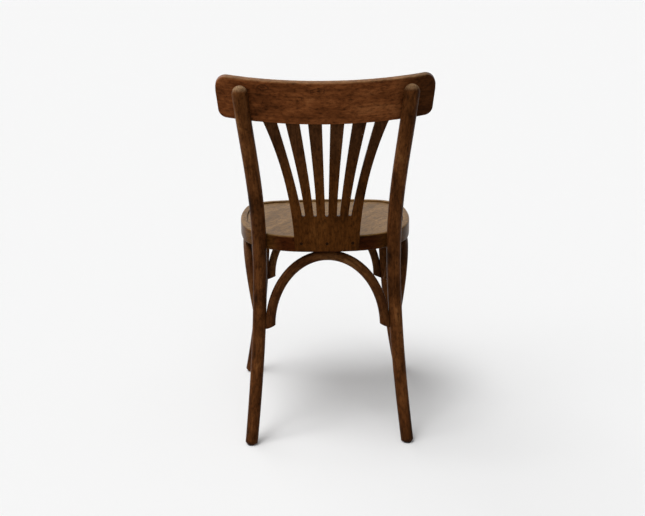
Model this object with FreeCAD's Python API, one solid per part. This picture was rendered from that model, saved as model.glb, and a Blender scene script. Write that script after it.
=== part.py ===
"""Bentwood bistro chair with a fan-shaped slat back, in millimetres.

The chair is drawn about the middle of its seat: +X is its left as a sitter would say it,
the sitter looks along -Y, and +Z is up from the floor.  Every finished piece is then moved
along Y, so that the origin lies on the floor under the middle of the whole chair.
"""
import FreeCAD, Part
import math
import os
from FreeCAD import Placement, Rotation, Vector

X_AXIS = Vector(1, 0, 0)
Y_AXIS = Vector(0, 1, 0)
Z_AXIS = Vector(0, 0, 1)
ORIGIN = Vector(0, 0, 0)
SIDES = {"left": 1, "right": -1}

# Seat ring, an oval of eight tangent arcs bent from one strip
SEAT_HEIGHT = 460.0
SEAT_HALF_WIDTH = 205.5
SEAT_HALF_DEPTH = 204.0
SEAT_WIDEST_Y = -32.0
REAR_ARC_RADIUS = 458.0
FRONT_ARC_RADIUS = 690.0
SIDE_ARC_RADIUS = 575.0
REAR_CORNER_RADIUS = 160.0
FRONT_CORNER_RADIUS = 86.0
RING_HEIGHT = 36.0
RING_WIDTH = 30.0
RIM_WIDTH = 15.0
RIM_ROUNDING = 4.5
RIM_INNER_ROUNDING = 1.2
RING_FOOT_ROUNDING = 3.0

# Seat panel, let into a rebate of the ring
PANEL_THICKNESS = 9.0
PANEL_RECESS = 3.5
PANEL_EDGE_GAP = 0.4

# Rear legs: each is one bent rod from the foot to the domed top of the back
REAR_FOOT_X = 177.2
REAR_FOOT_Y = 297.0
REAR_SHIN_Z = 150.0
REAR_SHIN_X = 163.5
REAR_SHIN_Y = 236.0
REAR_KNEE_Z = 300.0
REAR_KNEE_X = 155.0
REAR_KNEE_Y = 191.0
REAR_SEAT_X = 153.5
REAR_WAIST_Z = 560.0
REAR_WAIST_X = 159.3
REAR_WAIST_SETBACK = 16.0
REAR_NECK_Z = 690.0
REAR_NECK_X = 173.8
REAR_NECK_SETBACK = 41.0
REAR_TOP_Z = 784.0
REAR_TOP_X = 183.8
REAR_TOP_SETBACK = 65.0
REAR_FOOT_DIAMETER = 28.0
REAR_SEAT_DIAMETER = 33.0
REAR_TOP_DIAMETER = 34.5
REAR_LEG_NOTCH = 5.0

# Front legs: sabre-bent rods with a round tenon in the ring
FRONT_FOOT_X = 200.0
FRONT_FOOT_Y = -158.0
FRONT_ANKLE_Z = 110.0
FRONT_ANKLE_X = 180.5
FRONT_KNEE_Z = 290.0
FRONT_KNEE_X = 160.5
FRONT_TOP_X = 155.0
FRONT_FOOT_DIAMETER = 28.5
FRONT_TOP_DIAMETER = 29.5
TENON_DIAMETER = 18.0
TENON_LENGTH = 22.0
TENON_END_GAP = 1.0

# Feet
FOOT_TIP_DIAMETER = 18.0
GLIDE_DIAMETER = 17.0
GLIDE_HEIGHT = 2.2
GLIDE_ROUNDING = 0.8

# Bows: bent rods that brace the legs against the underside of the ring
REAR_BOW_DIAMETER = 23.0
REAR_BOW_HEIGHT = 174.5
REAR_BOW_STRAIGHT = 0.5
FRONT_BOW_DIAMETER = 20.5
FRONT_BOW_HEIGHT = 165.0
FRONT_BOW_STRAIGHT = 7.0
SIDE_BOW_DIAMETER = 20.5
SIDE_BOW_HEIGHT = 167.0
SIDE_BOW_STRAIGHT = 9.0
BOW_TOP_FLAT = 0.8
BOW_SADDLE = 0.8
BOW_END_SLANT = math.radians(22.0)
BOW_END_ROUNDING = 2.5
BOW_SCREW_RISE = 17.0

# Top rail, bent to a round about an axis that leans back with the legs
RAIL_LENGTH = 476.5
RAIL_HEIGHT = 94.5
RAIL_THICKNESS = 18.0
RAIL_RADIUS = 540.0
RAIL_MIDDLE_Z = 766.0
RAIL_TOP_CORNER = 27.0
RAIL_BOTTOM_CORNER = 18.0
RAIL_END_TAPER = 5.5
RAIL_WIDEST_DROP = 37.0
RAIL_EDGE_ROUNDING = 3.5
RAIL_LEG_NOTCH = 6.0
RAIL_SCREW_SPREAD = 44.0

# Splat: one bent board, sawn into a fan of slats
SPLAT_THICKNESS = 10.0
SPLAT_FOOT_RISE = 5.0
SPLAT_FOOT_HALF_WIDTH = 72.0
SPLAT_HEAD_HALF_WIDTH = 139.5
SPLAT_SIDE_SAG = 15.3
SPLAT_TENON = 11.0
SPLAT_TENON_GAP = 0.25
SLAT_COUNT = 6
SLOT_FOOT_WIDTH = 7.0
SLOT_HEAD_WIDTH = 18.5
SLOT_FOOT_Z = 512.5
SLOT_FOOT_SPACING = 26.0
SLOT_SAG = 1.4
SLOT_OVERRUN = 0.1
SPLAT_SCREW_SPACING = 56.5
SPLAT_SCREW_RISE = 4.0

# Fasteners
WOOD_FIT = 0.2
SCREW_CLEARANCE = 0.15
SCREW_SHANK = 4.5
SCREW_HEAD = 8.5
SCREW_HEAD_HEIGHT = 3.0
SCREW_POINT = 5.0
SCREW_SLOT_WIDTH = 1.2
SCREW_SLOT_DEPTH = 1.4
SPLAT_SCREW_LENGTH = 18.0
SPLAT_PLUG_DIAMETER = 7.0
RAIL_SCREW_LENGTH = 30.0
RAIL_PLUG_DIAMETER = 9.0
PLUG_THICKNESS = 2.5
PLUG_RECESS = 0.4
SPLAT_SCREW_DEPTH = PLUG_RECESS + PLUG_THICKNESS + SCREW_HEAD_HEIGHT
RAIL_SCREW_DEPTH = PLUG_RECESS + PLUG_THICKNESS + SCREW_HEAD_HEIGHT
BOW_END_SCREW_LENGTH = 28.0
BOW_TOP_SCREW_LENGTH = 30.0
BOW_SCREW_SINK = 3.5
LEG_BOLT_DIAMETER = 7.0
LEG_BOLT_LENGTH = 50.0
LEG_BOLT_HEAD_ACROSS = 12.0
LEG_BOLT_HEAD_HEIGHT = 5.0
LEG_BOLT_RISE = 12.0
LEG_WASHER_DIAMETER = 19.0
LEG_WASHER_THICKNESS = 1.6
LEG_WASHER_SEAT = 1.0
NAIL_DIAMETER = 2.6
NAIL_HEAD_DIAMETER = 6.5
NAIL_HEAD_HEIGHT = 0.9
NAIL_LENGTH = 16.0
NAIL_SINK = 0.4

# Levels and places that follow from the sizes above
RING_BOTTOM = SEAT_HEIGHT - RING_HEIGHT
PANEL_TOP = SEAT_HEIGHT - PANEL_RECESS
PANEL_BOTTOM = PANEL_TOP - PANEL_THICKNESS
SPLAT_FOOT_Z = RING_BOTTOM + SPLAT_FOOT_RISE
REAR_BOW_END_Z = RING_BOTTOM - REAR_BOW_HEIGHT
FRONT_BOW_END_Z = RING_BOTTOM - FRONT_BOW_HEIGHT
SIDE_BOW_END_Z = RING_BOTTOM - SIDE_BOW_HEIGHT
REACH = 2000.0
NEAR = 1e-3
LEG_SECTIONS = 15
ARCH_STEPS = 16


def solid_of(shape):
    """The single clean solid of a shape that a cut or fuse returned."""
    tidy = shape.removeSplitter()
    return tidy.Solids[0] if len(tidy.Solids) == 1 else tidy


def placed(shape, place, x_way, z_way):
    """A copy of a shape drawn about the origin, set at a place with its X and Z axes turned."""
    copy = shape.copy()
    y_way = z_way.cross(x_way)
    copy.Placement = Placement(place, Rotation(x_way, y_way, z_way, "ZXY"))
    return copy


def square_to(z_way, hint=X_AXIS):
    """A unit vector at right angles to z_way, as near to the hint as it can be."""
    across = hint - z_way * hint.dot(z_way)
    if across.Length < 1e-6:
        across = Y_AXIS - z_way * Y_AXIS.dot(z_way)
    return across.normalize()


def mirrored(shape):
    return shape.mirror(ORIGIN, X_AXIS)


def prism(wire, bottom, top):
    """An upright solid over a flat wire drawn at height zero."""
    base = Part.Face(wire)
    base.translate(Vector(0, 0, bottom))
    return base.extrude(Vector(0, 0, top - bottom))


def arc(centre, radius, start, end):
    angles = (start, (start + end) / 2, end)
    points = [centre + Vector(radius * math.cos(a), radius * math.sin(a), 0) for a in angles]
    return Part.Arc(*points).toShape()


def heading(start, end):
    return math.atan2(end.y - start.y, end.x - start.x)


def crossing(first, first_radius, second, second_radius, side):
    """Where two circles in the floor plane cross, on the front or the rear side."""
    along = second - first
    gap = along.Length
    reach = (gap ** 2 + first_radius ** 2 - second_radius ** 2) / (2 * gap)
    rise = math.sqrt(first_radius ** 2 - reach ** 2)
    along.normalize()
    across = Vector(-along.y, along.x, 0)
    points = [first + along * reach + across * rise, first + along * reach - across * rise]
    return max(points, key=lambda p: p.y * side)


REAR_CENTRE = Vector(0, SEAT_HALF_DEPTH - REAR_ARC_RADIUS, 0)
FRONT_CENTRE = Vector(0, FRONT_ARC_RADIUS - SEAT_HALF_DEPTH, 0)
SIDE_CENTRE = Vector(SEAT_HALF_WIDTH - SIDE_ARC_RADIUS, SEAT_WIDEST_Y, 0)
REAR_CORNER = crossing(REAR_CENTRE, REAR_ARC_RADIUS - REAR_CORNER_RADIUS,
                       SIDE_CENTRE, SIDE_ARC_RADIUS - REAR_CORNER_RADIUS, 1)
FRONT_CORNER = crossing(FRONT_CENTRE, FRONT_ARC_RADIUS - FRONT_CORNER_RADIUS,
                        SIDE_CENTRE, SIDE_ARC_RADIUS - FRONT_CORNER_RADIUS, -1)


def seat_outline(inset):
    """The seat's oval seen from above, drawn in by the inset all round."""
    rear_turn = heading(REAR_CENTRE, REAR_CORNER)
    side_rear_turn = heading(SIDE_CENTRE, REAR_CORNER)
    side_front_turn = heading(SIDE_CENTRE, FRONT_CORNER)
    front_turn = heading(FRONT_CENTRE, FRONT_CORNER)
    left = [
        arc(REAR_CORNER, REAR_CORNER_RADIUS - inset, rear_turn, side_rear_turn),
        arc(SIDE_CENTRE, SIDE_ARC_RADIUS - inset, side_rear_turn, side_front_turn),
        arc(FRONT_CORNER, FRONT_CORNER_RADIUS - inset, side_front_turn, front_turn),
    ]
    rear = arc(REAR_CENTRE, REAR_ARC_RADIUS - inset, math.pi - rear_turn, rear_turn)
    front = arc(FRONT_CENTRE, FRONT_ARC_RADIUS - inset, front_turn, -math.pi - front_turn)
    right = [mirrored(edge) for edge in left]
    return Part.Wire(Part.__sortEdges__([rear, *left, front, *right]))


def side_x(inset, y):
    """How far out the seat's side arc lies at a depth y."""
    return SIDE_CENTRE.x + math.sqrt((SIDE_ARC_RADIUS - inset) ** 2 - (y - SIDE_CENTRE.y) ** 2)


def beside_corner(corner, distance, x, side):
    """The point at a distance from a corner's centre that has the given x."""
    return corner.y + side * math.sqrt(distance ** 2 - (x - corner.x) ** 2)


# Where the legs meet the ring
REAR_SEAT_Z = (SEAT_HEIGHT + RING_BOTTOM) / 2
REAR_SEAT_REACH = REAR_CORNER_RADIUS + REAR_SEAT_DIAMETER / 2 - REAR_LEG_NOTCH
REAR_SEAT_Y = beside_corner(REAR_CORNER, REAR_SEAT_REACH, REAR_SEAT_X, 1)
FRONT_TOP_Y = beside_corner(FRONT_CORNER, FRONT_CORNER_RADIUS - RING_WIDTH / 2, FRONT_TOP_X, -1)


def spline(points):
    curve = Part.BSplineCurve()
    curve.interpolate(points)
    return curve


def rear_leg_line():
    """Middle line of the left rear leg, from the floor to the middle of its dome."""
    return spline([
        Vector(REAR_FOOT_X, REAR_FOOT_Y, 0),
        Vector(REAR_SHIN_X, REAR_SHIN_Y, REAR_SHIN_Z),
        Vector(REAR_KNEE_X, REAR_KNEE_Y, REAR_KNEE_Z),
        Vector(REAR_SEAT_X, REAR_SEAT_Y, REAR_SEAT_Z),
        Vector(REAR_WAIST_X, REAR_SEAT_Y + REAR_WAIST_SETBACK, REAR_WAIST_Z),
        Vector(REAR_NECK_X, REAR_SEAT_Y + REAR_NECK_SETBACK, REAR_NECK_Z),
        Vector(REAR_TOP_X, REAR_SEAT_Y + REAR_TOP_SETBACK, REAR_TOP_Z),
    ])


def front_leg_line():
    """Middle line of the left front leg, from the floor to the underside of the ring."""
    knee_share = FRONT_KNEE_Z / RING_BOTTOM
    ankle_share = FRONT_ANKLE_Z / RING_BOTTOM
    reach_y = FRONT_TOP_Y - FRONT_FOOT_Y
    return spline([
        Vector(FRONT_FOOT_X, FRONT_FOOT_Y, 0),
        Vector(FRONT_ANKLE_X, FRONT_FOOT_Y + ankle_share * reach_y, FRONT_ANKLE_Z),
        Vector(FRONT_KNEE_X, FRONT_FOOT_Y + knee_share * reach_y, FRONT_KNEE_Z),
        Vector(FRONT_TOP_X, FRONT_TOP_Y, RING_BOTTOM),
    ])


REAR_LINE = rear_leg_line()
FRONT_LINE = front_leg_line()


def point_at_height(line, z):
    """The point of a leg's middle line at a height, found by halving the line."""
    low, high = line.FirstParameter, line.LastParameter
    while high - low > 1e-9:
        middle = (low + high) / 2
        if line.value(middle).z < z:
            low = middle
        else:
            high = middle
    return line.value(low)


def rear_leg_radius(z):
    if z < REAR_SEAT_Z:
        share = z / REAR_SEAT_Z
        return (REAR_FOOT_DIAMETER + (REAR_SEAT_DIAMETER - REAR_FOOT_DIAMETER) * share) / 2
    share = (z - REAR_SEAT_Z) / (REAR_TOP_Z - REAR_SEAT_Z)
    return (REAR_SEAT_DIAMETER + (REAR_TOP_DIAMETER - REAR_SEAT_DIAMETER) * share) / 2


def front_leg_radius(z):
    share = z / RING_BOTTOM
    return (FRONT_FOOT_DIAMETER + (FRONT_TOP_DIAMETER - FRONT_FOOT_DIAMETER) * share) / 2


def bent_rod(line, radius_at, grow):
    """A round rod whose thickness changes along its middle line."""
    sections = []
    span = line.LastParameter - line.FirstParameter
    for step in range(LEG_SECTIONS):
        here = line.FirstParameter + span * step / (LEG_SECTIONS - 1)
        way = line.tangent(here)[0]
        place = line.value(here)
        circle = Part.makeCircle(radius_at(place.z) + grow)
        sections.append(Part.Wire(placed(circle, place, square_to(way), way)))
    return Part.makeLoft(sections, True, False)


def foot_bevel(line):
    """A wide cone that stands on its tip, to bevel the end of a foot."""
    way = line.tangent(line.FirstParameter)[0]
    cone = Part.makeCone(FOOT_TIP_DIAMETER / 2, FOOT_TIP_DIAMETER / 2 + REACH, REACH)
    return placed(cone, line.value(line.FirstParameter), square_to(way), way)


def slab_between(bottom, top):
    """A block wider than the chair that fills the space between two heights."""
    corner = Vector(-REACH / 2, -REACH / 2, bottom)
    return Part.makeBox(REACH, REACH, top - bottom, corner)


def above(z):
    return slab_between(z, z + REACH)


def rear_leg_rod(grow=0.0):
    """The left rear leg as a plain rod with its dome, before any notch."""
    rod = bent_rod(REAR_LINE, rear_leg_radius, grow)
    way = REAR_LINE.tangent(REAR_LINE.LastParameter)[0]
    top = REAR_LINE.value(REAR_LINE.LastParameter)
    dome = Part.makeSphere(rear_leg_radius(top.z) + grow, ORIGIN, Z_AXIS, 0, 90, 360)
    return rod.fuse(placed(dome, top, square_to(way), way))


def front_leg_rod(grow=0.0):
    return bent_rod(FRONT_LINE, front_leg_radius, grow)


# Screws, bolts and plugs, each drawn along -Z with the underside of its head at the origin
def screw(length, shank=SCREW_SHANK, head=SCREW_HEAD, head_height=SCREW_HEAD_HEIGHT):
    body = Part.makeCylinder(shank / 2, length - SCREW_POINT, ORIGIN, -Z_AXIS)
    point_start = Vector(0, 0, SCREW_POINT - length)
    point = Part.makeCone(shank / 2, shank / 16, SCREW_POINT, point_start, -Z_AXIS)
    cap = Part.makeCylinder(head / 2, head_height)
    slot_corner = Vector(-head, -SCREW_SLOT_WIDTH / 2, head_height - SCREW_SLOT_DEPTH)
    slot = Part.makeBox(2 * head, SCREW_SLOT_WIDTH, SCREW_SLOT_DEPTH, slot_corner)
    return solid_of(body.fuse([point, cap]).cut(slot))


def screw_hole(length, sink, shank=SCREW_SHANK, head=SCREW_HEAD):
    """The room a screw needs: its shank's bore and, above the head's seat, a wider bore."""
    depth = length + SCREW_CLEARANCE
    bore = Part.makeCylinder(shank / 2 + SCREW_CLEARANCE, depth, ORIGIN, -Z_AXIS)
    mouth = Part.makeCylinder(head / 2 + SCREW_CLEARANCE, sink)
    return bore.fuse(mouth)


def hex_bolt():
    corner = LEG_BOLT_HEAD_ACROSS / math.sqrt(3)
    turns = [math.radians(60 * step) for step in range(7)]
    corners = [Vector(corner * math.cos(turn), corner * math.sin(turn), 0) for turn in turns]
    head = Part.Face(Part.makePolygon(corners)).extrude(Vector(0, 0, LEG_BOLT_HEAD_HEIGHT))
    body_length = LEG_BOLT_LENGTH - SCREW_POINT
    radius = LEG_BOLT_DIAMETER / 2
    body = Part.makeCylinder(radius, body_length, ORIGIN, -Z_AXIS)
    point_start = Vector(0, 0, -body_length)
    point = Part.makeCone(radius, radius / 4, SCREW_POINT, point_start, -Z_AXIS)
    return solid_of(head.fuse([body, point]))


def washer():
    hole = Part.makeCylinder(LEG_BOLT_DIAMETER / 2 + SCREW_CLEARANCE, LEG_WASHER_THICKNESS)
    return Part.makeCylinder(LEG_WASHER_DIAMETER / 2, LEG_WASHER_THICKNESS).cut(hole)


def driven(shape, seat, way):
    """A fastener set with the underside of its head at the seat, driven along the way."""
    return placed(shape, seat, square_to(-way), -way)


# Bows
def bow_frame(sizes):
    """The middle between a bow's ends, the way across it, and its rise to the crown."""
    first_end, second_end = sizes["ends"]
    middle = (first_end + second_end) / 2
    across = (second_end - first_end).normalize()
    rise = sizes["crown"] - middle
    return middle, across, rise - across * rise.dot(across)


def arch(centre, across, rise):
    """Half an ellipse that springs upright from both ends of a line and crosses over its middle."""
    points = []
    for step in range(ARCH_STEPS + 1):
        turn = math.pi * step / ARCH_STEPS
        points.append(centre - across * math.cos(turn) + rise * math.sin(turn))
    curve = Part.BSplineCurve()
    curve.interpolate(Points=points, InitialTangent=rise, FinalTangent=-rise)
    return curve.toShape()


def end_trim(end, inward, up, diameter):
    """The waste below a slanted end cut, which leaves the side away from the leg shorter."""
    slope = (inward * math.cos(BOW_END_SLANT) + up * math.sin(BOW_END_SLANT)).normalize()
    down = slope.cross(inward.cross(up)).normalize()
    if down.dot(up) > 0:
        down = -down
    corner = Vector(-2 * diameter, -2 * diameter, 0)
    block = Part.makeBox(4 * diameter, 4 * diameter, 2 * diameter, corner)
    return placed(block, end, slope, down)


def bow(sizes):
    """A bow with short straight ends, cut on the slant, and a small flat under the ring."""
    diameter = sizes["diameter"]
    first_end, second_end = sizes["ends"]
    middle, across, rise = bow_frame(sizes)
    up = rise / rise.Length
    half_span = (second_end - first_end).Length / 2
    leg = sizes["straight"] / up.z
    centre = middle + up * leg
    springs = [centre - across * half_span, centre + across * half_span]
    longer = [springs[0] - up * (leg + diameter), springs[1] - up * (leg + diameter)]
    path = Part.Wire([
        Part.LineSegment(longer[0], springs[0]).toShape(),
        arch(centre, across * half_span, rise - up * leg),
        Part.LineSegment(springs[1], longer[1]).toShape(),
    ])
    section = Part.Wire(placed(Part.makeCircle(diameter / 2), longer[0], across, up))
    rod = path.makePipeShell([section], True, False)
    trims = [
        end_trim(first_end, across, up, diameter),
        end_trim(second_end, -across, up, diameter),
    ]
    return rod.cut(trims + [above(RING_BOTTOM)])


def rounded_ends(shape, sizes):
    """Softens the sharp edge round each end cut."""
    edges = []
    for edge in shape.Edges:
        nearest = min((edge.BoundBox.Center - end).Length for end in sizes["ends"])
        if nearest < sizes["diameter"] / 3 and edge.Length > sizes["diameter"]:
            edges.append(edge)
    return shape.makeFillet(BOW_END_ROUNDING, edges)


def crown_z(diameter):
    return RING_BOTTOM - diameter / 2 + BOW_TOP_FLAT


def cross_bow_ends(line, radius_at, diameter, z):
    """Ends of a bow that spans from one leg to its mirror image."""
    leg = point_at_height(line, z)
    x = leg.x - radius_at(z) - diameter / 2 + BOW_SADDLE
    return Vector(x, leg.y, z), Vector(-x, leg.y, z)


def side_bow_ends():
    """Rear and front ends of the left side bow."""
    rear = point_at_height(REAR_LINE, SIDE_BOW_END_Z)
    front = point_at_height(FRONT_LINE, SIDE_BOW_END_Z)
    way = (front - rear).normalize()
    inset = SIDE_BOW_DIAMETER / 2 - BOW_SADDLE
    rear_end = rear + way * (rear_leg_radius(SIDE_BOW_END_Z) + inset)
    front_end = front - way * (front_leg_radius(SIDE_BOW_END_Z) + inset)
    return rear_end, front_end


REAR_BOW_ENDS = cross_bow_ends(REAR_LINE, rear_leg_radius, REAR_BOW_DIAMETER, REAR_BOW_END_Z)
FRONT_BOW_ENDS = cross_bow_ends(FRONT_LINE, front_leg_radius, FRONT_BOW_DIAMETER, FRONT_BOW_END_Z)
SIDE_BOW_ENDS = side_bow_ends()
REAR_CROWN = Vector(0, SEAT_HALF_DEPTH - RING_WIDTH / 2, crown_z(REAR_BOW_DIAMETER))
FRONT_CROWN = Vector(0, RING_WIDTH / 2 - SEAT_HALF_DEPTH, crown_z(FRONT_BOW_DIAMETER))
SIDE_CROWN_Y = (SIDE_BOW_ENDS[0].y + SIDE_BOW_ENDS[1].y) / 2
SIDE_CROWN = Vector(side_x(RING_WIDTH / 2, SIDE_CROWN_Y), SIDE_CROWN_Y, crown_z(SIDE_BOW_DIAMETER))
BOWS = {
    "rear_bow": {
        "ends": REAR_BOW_ENDS,
        "crown": REAR_CROWN,
        "straight": REAR_BOW_STRAIGHT,
        "diameter": REAR_BOW_DIAMETER,
    },
    "front_bow": {
        "ends": FRONT_BOW_ENDS,
        "crown": FRONT_CROWN,
        "straight": FRONT_BOW_STRAIGHT,
        "diameter": FRONT_BOW_DIAMETER,
    },
    "side_bow": {
        "ends": SIDE_BOW_ENDS,
        "crown": SIDE_CROWN,
        "straight": SIDE_BOW_STRAIGHT,
        "diameter": SIDE_BOW_DIAMETER,
    },
}


def end_screw_seat(end, leg_way, up, diameter):
    """Where the head of a bow-end screw sits: in the bow's face that looks away from the leg."""
    return end + up * BOW_SCREW_RISE - leg_way * (diameter / 2 - BOW_SCREW_SINK)


def bow_screw_places(sizes):
    """Seat and driving direction of the two end screws of a bow."""
    first_end, second_end = sizes["ends"]
    across, rise = bow_frame(sizes)[1:]
    up = rise / rise.Length
    return [
        (end_screw_seat(first_end, -across, up, sizes["diameter"]), -across),
        (end_screw_seat(second_end, across, up, sizes["diameter"]), across),
    ]


BOW_SCREW_PLACES = {name: bow_screw_places(sizes) for name, sizes in BOWS.items()}


def crown_screw_seat(sizes):
    """Where the head of the screw up through a bow's crown sits."""
    return sizes["crown"] - Z_AXIS * (sizes["diameter"] / 2 - BOW_SCREW_SINK)


CROWN_SCREW_SEATS = {name: crown_screw_seat(sizes) for name, sizes in BOWS.items()}


def end_screw_holes(name):
    hole = screw_hole(BOW_END_SCREW_LENGTH, RING_WIDTH)
    return [driven(hole, seat, way) for seat, way in BOW_SCREW_PLACES[name]]


def crown_screw_hole(name):
    return driven(screw_hole(BOW_TOP_SCREW_LENGTH, RING_WIDTH), CROWN_SCREW_SEATS[name], Z_AXIS)


def finished_bow(name, legs):
    shape = rounded_ends(bow(BOWS[name]), BOWS[name])
    return solid_of(shape.cut(legs + end_screw_holes(name) + [crown_screw_hole(name)]))


# Top rail, drawn upright about the middle of its rear face and then leant back
def rail_frame():
    """The place and the axes of the rail: across, through its thickness, and up along it."""
    leg = point_at_height(REAR_LINE, RAIL_MIDDLE_Z)
    way = REAR_LINE.tangent(REAR_LINE.parameter(leg))[0]
    up = Vector(0, way.y, way.z).normalize()
    back = Vector(0, up.z, -up.y)
    leg_reach = RAIL_RADIUS + rear_leg_radius(RAIL_MIDDLE_Z) - RAIL_LEG_NOTCH
    setback = RAIL_RADIUS - math.sqrt(leg_reach ** 2 - leg.x ** 2)
    return Vector(0, leg.y, leg.z) + back * setback, back, up


def rail_placed(shape):
    place, _, up = rail_frame()
    return placed(shape, place, X_AXIS, up)


def rail_bend(inner, outer, bottom, top):
    """Part of an upright tube about the rail's bend axis, between two radii and heights."""
    centre = Vector(0, -RAIL_RADIUS, bottom)
    height = top - bottom
    tube = Part.makeCylinder(outer, height, centre).cut(Part.makeCylinder(inner, height, centre))
    front_half = Part.makeBox(REACH, REACH, height, Vector(-REACH / 2, -RAIL_RADIUS - REACH, bottom))
    return tube.cut(front_half)


def corner_round(before, corner, after, radius):
    """The two ends and the middle of the round that softens a corner."""
    way_in = (before - corner).normalize()
    way_out = (after - corner).normalize()
    half = way_in.getAngle(way_out) / 2
    cut_back = radius / math.tan(half)
    centre = corner + (way_in + way_out).normalize() * (radius / math.sin(half))
    middle = centre + (corner - centre).normalize() * radius
    return corner + way_in * cut_back, middle, corner + way_out * cut_back


def rail_outline():
    """The rail seen from behind, with large upper corners and ends that draw in downwards."""
    half_length, half_height = RAIL_LENGTH / 2, RAIL_HEIGHT / 2
    widest = Vector(half_length, 0, half_height - RAIL_WIDEST_DROP)
    top_in = Vector(0, 0, half_height)
    top = Vector(half_length, 0, half_height)
    low = Vector(half_length - RAIL_END_TAPER, 0, -half_height)
    low_in = Vector(0, 0, -half_height)
    upper = corner_round(top_in, top, widest, RAIL_TOP_CORNER)
    lower = corner_round(widest, low, low_in, RAIL_BOTTOM_CORNER)
    half = [
        Part.LineSegment(top_in, upper[0]).toShape(),
        Part.Arc(*upper).toShape(),
        Part.LineSegment(upper[2], widest).toShape(),
        Part.LineSegment(widest, lower[0]).toShape(),
        Part.Arc(*lower).toShape(),
        Part.LineSegment(lower[2], low_in).toShape(),
    ]
    return Part.Wire(Part.__sortEdges__(half + [mirrored(edge) for edge in half]))


def rail_blank():
    """The bent and shaped rail before its edges are rounded, still upright at the origin."""
    half_height = RAIL_HEIGHT / 2
    bend = rail_bend(RAIL_RADIUS - RAIL_THICKNESS, RAIL_RADIUS, -half_height, half_height)
    face = Part.Face(rail_outline())
    face.translate(Vector(0, -REACH / 2, 0))
    return solid_of(bend.common(face.extrude(Vector(0, REACH, 0))))


def rail_leg_angle():
    """How far round the rail's bend each leg stands."""
    leg = point_at_height(REAR_LINE, RAIL_MIDDLE_Z)
    leg_reach = RAIL_RADIUS + rear_leg_radius(RAIL_MIDDLE_Z) - RAIL_LEG_NOTCH
    return math.asin(leg.x / leg_reach)


def rail_screw_places(depth):
    """Places at a depth under the rail's front face, and the outward way into each leg."""
    place, back, up = rail_frame()
    axis = place - back * RAIL_RADIUS
    places = []
    for side in SIDES.values():
        turn = side * rail_leg_angle()
        way = X_AXIS * math.sin(turn) + back * math.cos(turn)
        for rise in (-RAIL_SCREW_SPREAD / 2, RAIL_SCREW_SPREAD / 2):
            places.append((axis + way * (RAIL_RADIUS - RAIL_THICKNESS + depth) + up * rise, way))
    return places


# Splat
def splat_levels():
    """Heights at which the splat's bend is drawn, from its foot to above the rail's groove."""
    head = rail_groove_top().z
    levels = [SPLAT_FOOT_Z, REAR_SEAT_Z, SEAT_HEIGHT]
    steps = 5
    return levels + [SEAT_HEIGHT + (head - SEAT_HEIGHT) * step / steps for step in range(1, steps + 1)]


def rail_groove_top():
    """The middle of the splat's upper end, inside the rail's groove."""
    place, back, up = rail_frame()
    return place - back * (RAIL_THICKNESS / 2) - up * (RAIL_HEIGHT / 2 - SPLAT_TENON)


def splat_setback(z):
    """How far the middle of the splat stands behind its place at the ring."""
    if z <= SEAT_HEIGHT:
        return 0.0
    top = rail_groove_top()
    total = top.y - (SEAT_HALF_DEPTH + WOOD_FIT + SPLAT_THICKNESS / 2)
    return total * ((z - SEAT_HEIGHT) / (top.z - SEAT_HEIGHT)) ** 2


def splat_board(grow=0.0):
    """The bent board: upright at the ring, then curving back to meet the rail."""
    sections = []
    top = rail_groove_top()
    for z in splat_levels():
        share = max(0.0, (z - SEAT_HEIGHT) / (top.z - SEAT_HEIGHT))
        foot_radius = REAR_ARC_RADIUS + WOOD_FIT + SPLAT_THICKNESS / 2
        head_radius = RAIL_RADIUS - RAIL_THICKNESS / 2
        radius = foot_radius + (head_radius - foot_radius) * share
        rear_y = SEAT_HALF_DEPTH + WOOD_FIT + SPLAT_THICKNESS / 2 + splat_setback(z)
        half_turn = math.asin(1.3 * SPLAT_HEAD_HALF_WIDTH / radius)
        centre = Vector(0, rear_y - radius, z)
        half = SPLAT_THICKNESS / 2 + grow
        starts = math.pi / 2 - half_turn
        ends = math.pi / 2 + half_turn
        outer = arc(centre, radius + half, starts, ends)
        inner = arc(centre, radius - half, ends, starts)
        edges = [
            outer,
            Part.LineSegment(outer.lastVertex().Point, inner.firstVertex().Point).toShape(),
            inner,
            Part.LineSegment(inner.lastVertex().Point, outer.firstVertex().Point).toShape(),
        ]
        sections.append(Part.Wire(edges))
    return Part.makeLoft(sections, True, False)


def side_curve(foot, head, sag):
    """A shallow arc from foot to head, whose middle is drawn in by the sag."""
    chord = head - foot
    inward = Vector(-chord.z, 0, chord.x).normalize()
    return Part.Arc(foot, (foot + head) / 2 + inward * sag, head).toShape()


def slot_outline(step, grow=0.0):
    """The outline of one slot, numbered outwards from the middle one: round at its foot."""
    foot_z, head_z = SLOT_FOOT_Z, rail_groove_top().z
    slat = (2 * SPLAT_HEAD_HALF_WIDTH - (SLAT_COUNT - 1) * SLOT_HEAD_WIDTH) / SLAT_COUNT
    head_spacing = slat + SLOT_HEAD_WIDTH
    sides = []
    for side in (1, -1):
        foot_x = step * SLOT_FOOT_SPACING + side * (SLOT_FOOT_WIDTH / 2 - grow)
        head_x = step * head_spacing + side * (SLOT_HEAD_WIDTH / 2 - grow)
        foot = Vector(foot_x, 0, foot_z)
        middle = Vector((foot_x + head_x) / 2 - step * SLOT_SAG, 0, (foot_z + head_z) / 2)
        head = Vector(head_x, 0, head_z)
        sides.append([foot, middle, head, head + (head - middle) * SLOT_OVERRUN])
    right, left = sides
    foot = Vector((right[0].x + left[0].x) / 2, 0, foot_z - (right[0].x - left[0].x) / 2)
    return Part.Wire([
        spline(right).toShape(),
        Part.LineSegment(right[-1], left[-1]).toShape(),
        spline(left[::-1]).toShape(),
        Part.Arc(left[0], foot, right[0]).toShape(),
    ])


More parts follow.
